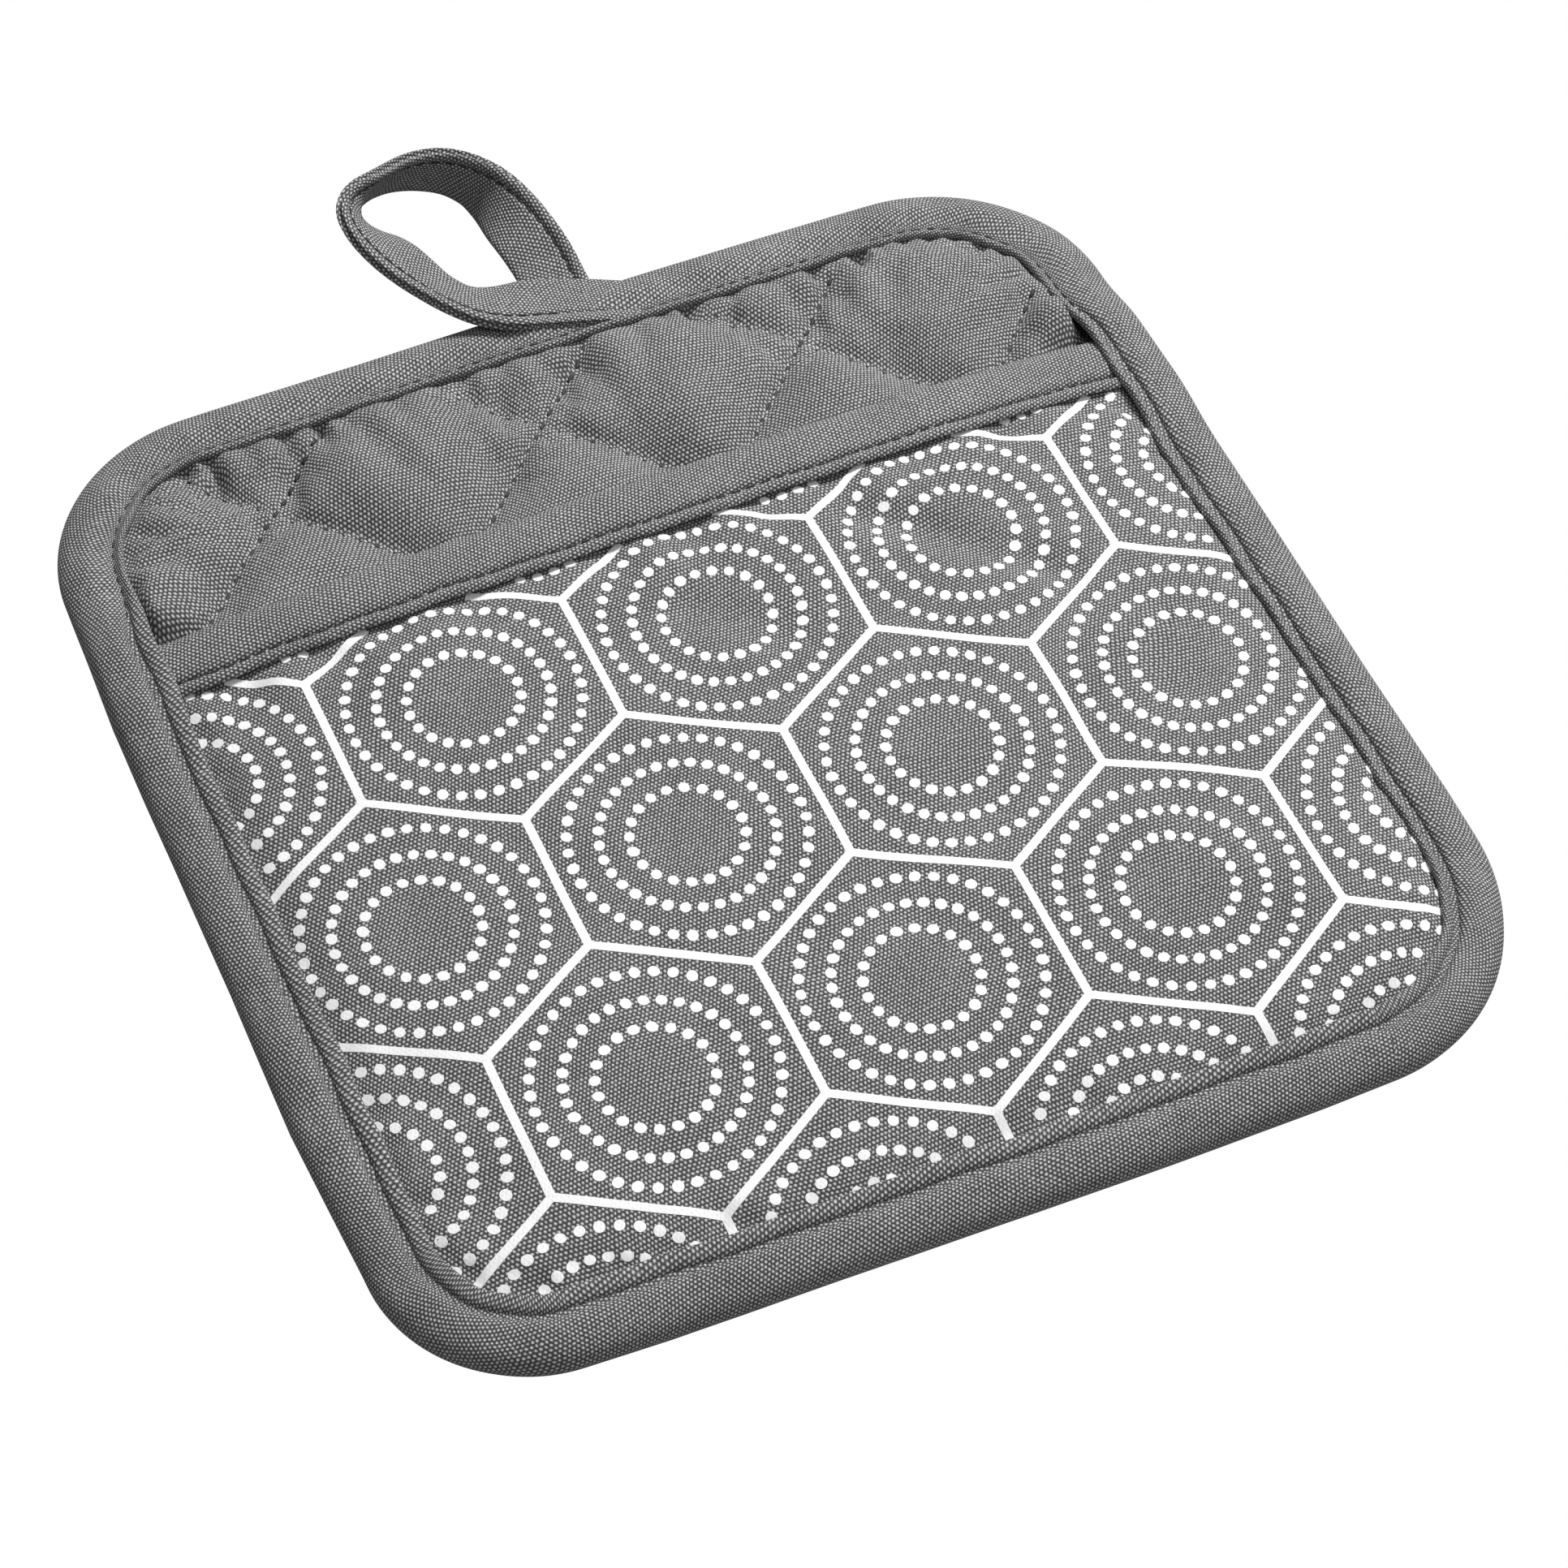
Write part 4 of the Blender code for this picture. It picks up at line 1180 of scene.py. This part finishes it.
def on_pocket(x, y, off):
    """Where a place of the print's flat plane lies on the pocket, set off from the cloth."""
    u, v = np.array(x, float), np.array(y, float)
    for _ in range(4):
        z = FINE.at(SMOOTH_Z, u, v)
        rise = (z - PRINT_PLANE) / (CAMERA_PLACE[2] - PRINT_PLANE)
        u = x + (CAMERA_PLACE[0] - x) * rise
        v = y + (CAMERA_PLACE[1] - y) * rise
    off = np.asarray(off)
    return FINE.at(POCKET, u, v) + FINE.at(POCKET_NORMALS, u, v) * off[..., None], u, v


def in_print(u, v, margin):
    inset = FINE.at(FINE.inset, u, v)
    return (inset > BINDING_WIDTH - margin) & (v < BAND_LOW - mouth_sag(u) + margin)


DISC_TURN = np.arange(DISC_SIDES) * 2 * math.pi / DISC_SIDES


def ink_disc(x, y, radius, wobble):
    """A round spot of ink with a soft edge, laid on the pocket."""
    px, py, off = [], [], []
    for share, height, count in DISC_RINGS:
        reach = radius * share * (wobble if count > 1 else np.ones(1))
        px += list(x + reach * np.cos(DISC_TURN[:count]))
        py += list(y + reach * np.sin(DISC_TURN[:count]))
        off += [height] * count
    verts, _, _ = on_pocket(np.array(px), np.array(py), np.array(off))
    faces = []
    last = 1 + 2 * DISC_SIDES
    for c in range(DISC_SIDES):
        d = (c + 1) % DISC_SIDES
        faces.append((0, 1 + c, 1 + d))
        faces.append((1 + c, 1 + DISC_SIDES + c, 1 + DISC_SIDES + d, 1 + d))
        faces.append((last, 1 + DISC_SIDES + d, 1 + DISC_SIDES + c))
    return verts, faces


def print_dots():
    parts = []
    for cx, cy in hex_centres():
        for share, count, first in DOT_RINGS:
            start = math.radians(first + rng.uniform(-1, 1))
            for k in range(count):
                angle = start + 2 * math.pi * k / count
                x = cx + share * HEX_EDGE * math.cos(angle)
                y = cy + share * HEX_EDGE * math.sin(angle)
                _, u, v = on_pocket(x, y, 0.0)
                if not in_print(u, v, DOT_MARGIN):
                    continue
                radius = DOT_RADIUS * rng.uniform(0.93, 1.06)
                wobble = 1 + 0.05 * np.sin(2 * DISC_TURN + rng.uniform(0, 6.28))
                parts.append(ink_disc(x, y, radius, wobble))
    return parts


def hex_centres():
    found = []
    for j in range(-4, 5):
        for i in range(-5, 6):
            x = HEX_ORIGIN[0] + math.sqrt(3) * (i + 0.5 * (j % 2)) * HEX_EDGE
            y = HEX_ORIGIN[1] - 1.5 * j * HEX_EDGE
            if abs(x) < PAD_WIDTH / 2 + HEX_EDGE and -PAD_HEIGHT / 2 - HEX_EDGE < y < MOUTH + HEX_EDGE:
                found.append((x, y))
    return found


def print_lines():
    """Outlines of the hexagons as thin ribbons of ink."""
    edges = {}
    for cx, cy in hex_centres():
        corner = [(cx + HEX_EDGE * math.sin(k * math.pi / 3), cy + HEX_EDGE * math.cos(k * math.pi / 3))
                  for k in range(6)]
        for k in range(6):
            a, b = corner[k], corner[(k + 1) % 6]
            key = tuple(sorted([(round(a[0], 5), round(a[1], 5)), (round(b[0], 5), round(b[1], 5))]))
            edges.setdefault((round((a[0] + b[0]) / 2, 4), round((a[1] + b[1]) / 2, 4)), key)
    parts = []
    half = HEX_LINE / 2
    # Section of a printed line: place across, and height above the cloth
    profile = ((-half, -0.00006), (-half + 0.00005, 0.00010), (0.0, 0.00011),
               (half - 0.00005, 0.00010), (half, -0.00006), (0.0, -0.00014))
    across, heights = np.array(profile).T
    for a, b in edges.values():
        a, b = np.array(a), np.array(b)
        along = (b - a) / np.linalg.norm(b - a)
        side = np.array([-along[1], along[0]])
        length = np.linalg.norm(b - a)
        t = np.linspace(0.0, length, RIBBON_STEPS)
        centre = a + along * t[:, None]
        _, u, v = on_pocket(centre[:, 0], centre[:, 1], np.zeros(RIBBON_STEPS))
        inside = in_print(u, v, LINE_MARGIN)
        edges_at = np.flatnonzero(np.diff(np.r_[0, inside.astype(int), 0]))
        for p, q in zip(edges_at[::2], edges_at[1::2]):
            if q - p < 3:
                continue
            rows = []
            for c in centre[p:q]:
                places = c + side * across[:, None]
                rows.append(on_pocket(places[:, 0], places[:, 1], heights)[0])
            parts.append(swept_mesh(np.array(rows), False, np.arange(len(rows)))[:2])
    junctions = {end for pair in edges.values() for end in pair}
    parts += [ink_disc(x, y, half * JUNCTION_SHARE, np.ones(DISC_SIDES)) for x, y in sorted(junctions)
              if in_print(*on_pocket(x, y, 0.0)[1:], JUNCTION_MARGIN)]
    return parts


for name, parts in (("print_dots", print_dots()), ("print_lines", print_lines())):
    add_piece(name, *joined(parts), slot="print_ink", material=INK, smooth_angle=18)

# Floor, light and camera

floor_data = bpy.data.meshes.new("floor")
floor_data.from_pydata([(-3, -3, 0), (3, -3, 0), (3, 3, 0), (-3, 3, 0)], [], [(0, 1, 2, 3)])
floor = linked("floor", floor_data)
floor.location.z = -FLOOR_DROP
floor_look = Nodes("floor_paper")
floor_look.set(Base_Color=(FLOOR_TONE, FLOOR_TONE, FLOOR_TONE, 1), Roughness=0.9)
glow = floor_look.new("ShaderNodeEmission")
seen = floor_look.new("ShaderNodeLightPath")
blend = floor_look.new("ShaderNodeMixShader")
floor_look.link(seen.outputs["Is Camera Ray"], blend.inputs[0])
floor_look.link(floor_look.shader.outputs[0], blend.inputs[1])
floor_look.link(glow.outputs[0], blend.inputs[2])
floor_look.link(blend.outputs[0], floor_look.tree.nodes["Material Output"].inputs[0])
floor_data.materials.append(floor_look.material)

world = bpy.data.worlds.new("studio")
world.use_nodes = True
world.node_tree.nodes["Background"].inputs[0].default_value = (1, 1, 1, 1)
world.node_tree.nodes["Background"].inputs[1].default_value = WORLD_LIGHT
bpy.context.scene.world = world


def area_light(name, place, size, power):
    """A round light that points at the pad's middle."""
    data = bpy.data.lights.new(name, "AREA")
    data.shape = "DISK"
    data.size = size
    data.energy = power
    obj = linked(name, data)
    obj.location = place
    obj.rotation_mode = "QUATERNION"
    obj.rotation_quaternion = (-Vector(place)).to_track_quat("-Z", "Y")


area_light("key_light", place=(0.56, 0.44, 1.08), size=0.40, power=21.5)
area_light("fill_light", place=(0.10, -0.65, 1.18), size=0.9, power=5.6)

camera_data = bpy.data.cameras.new("camera")
camera_data.sensor_width = 36
camera_data.lens = CAMERA_LENS
camera_data.clip_start = 0.01
camera_data.clip_end = 50
camera = linked("camera", camera_data)
turn = Matrix((CAMERA_RIGHT, CAMERA_UP, -CAMERA_AHEAD)).transposed()
camera.rotation_mode = "QUATERNION"
camera.rotation_quaternion = turn.to_quaternion()
camera.location = CAMERA_PLACE
bpy.context.scene.camera = camera
bpy.context.scene.view_settings.view_transform = "Standard"
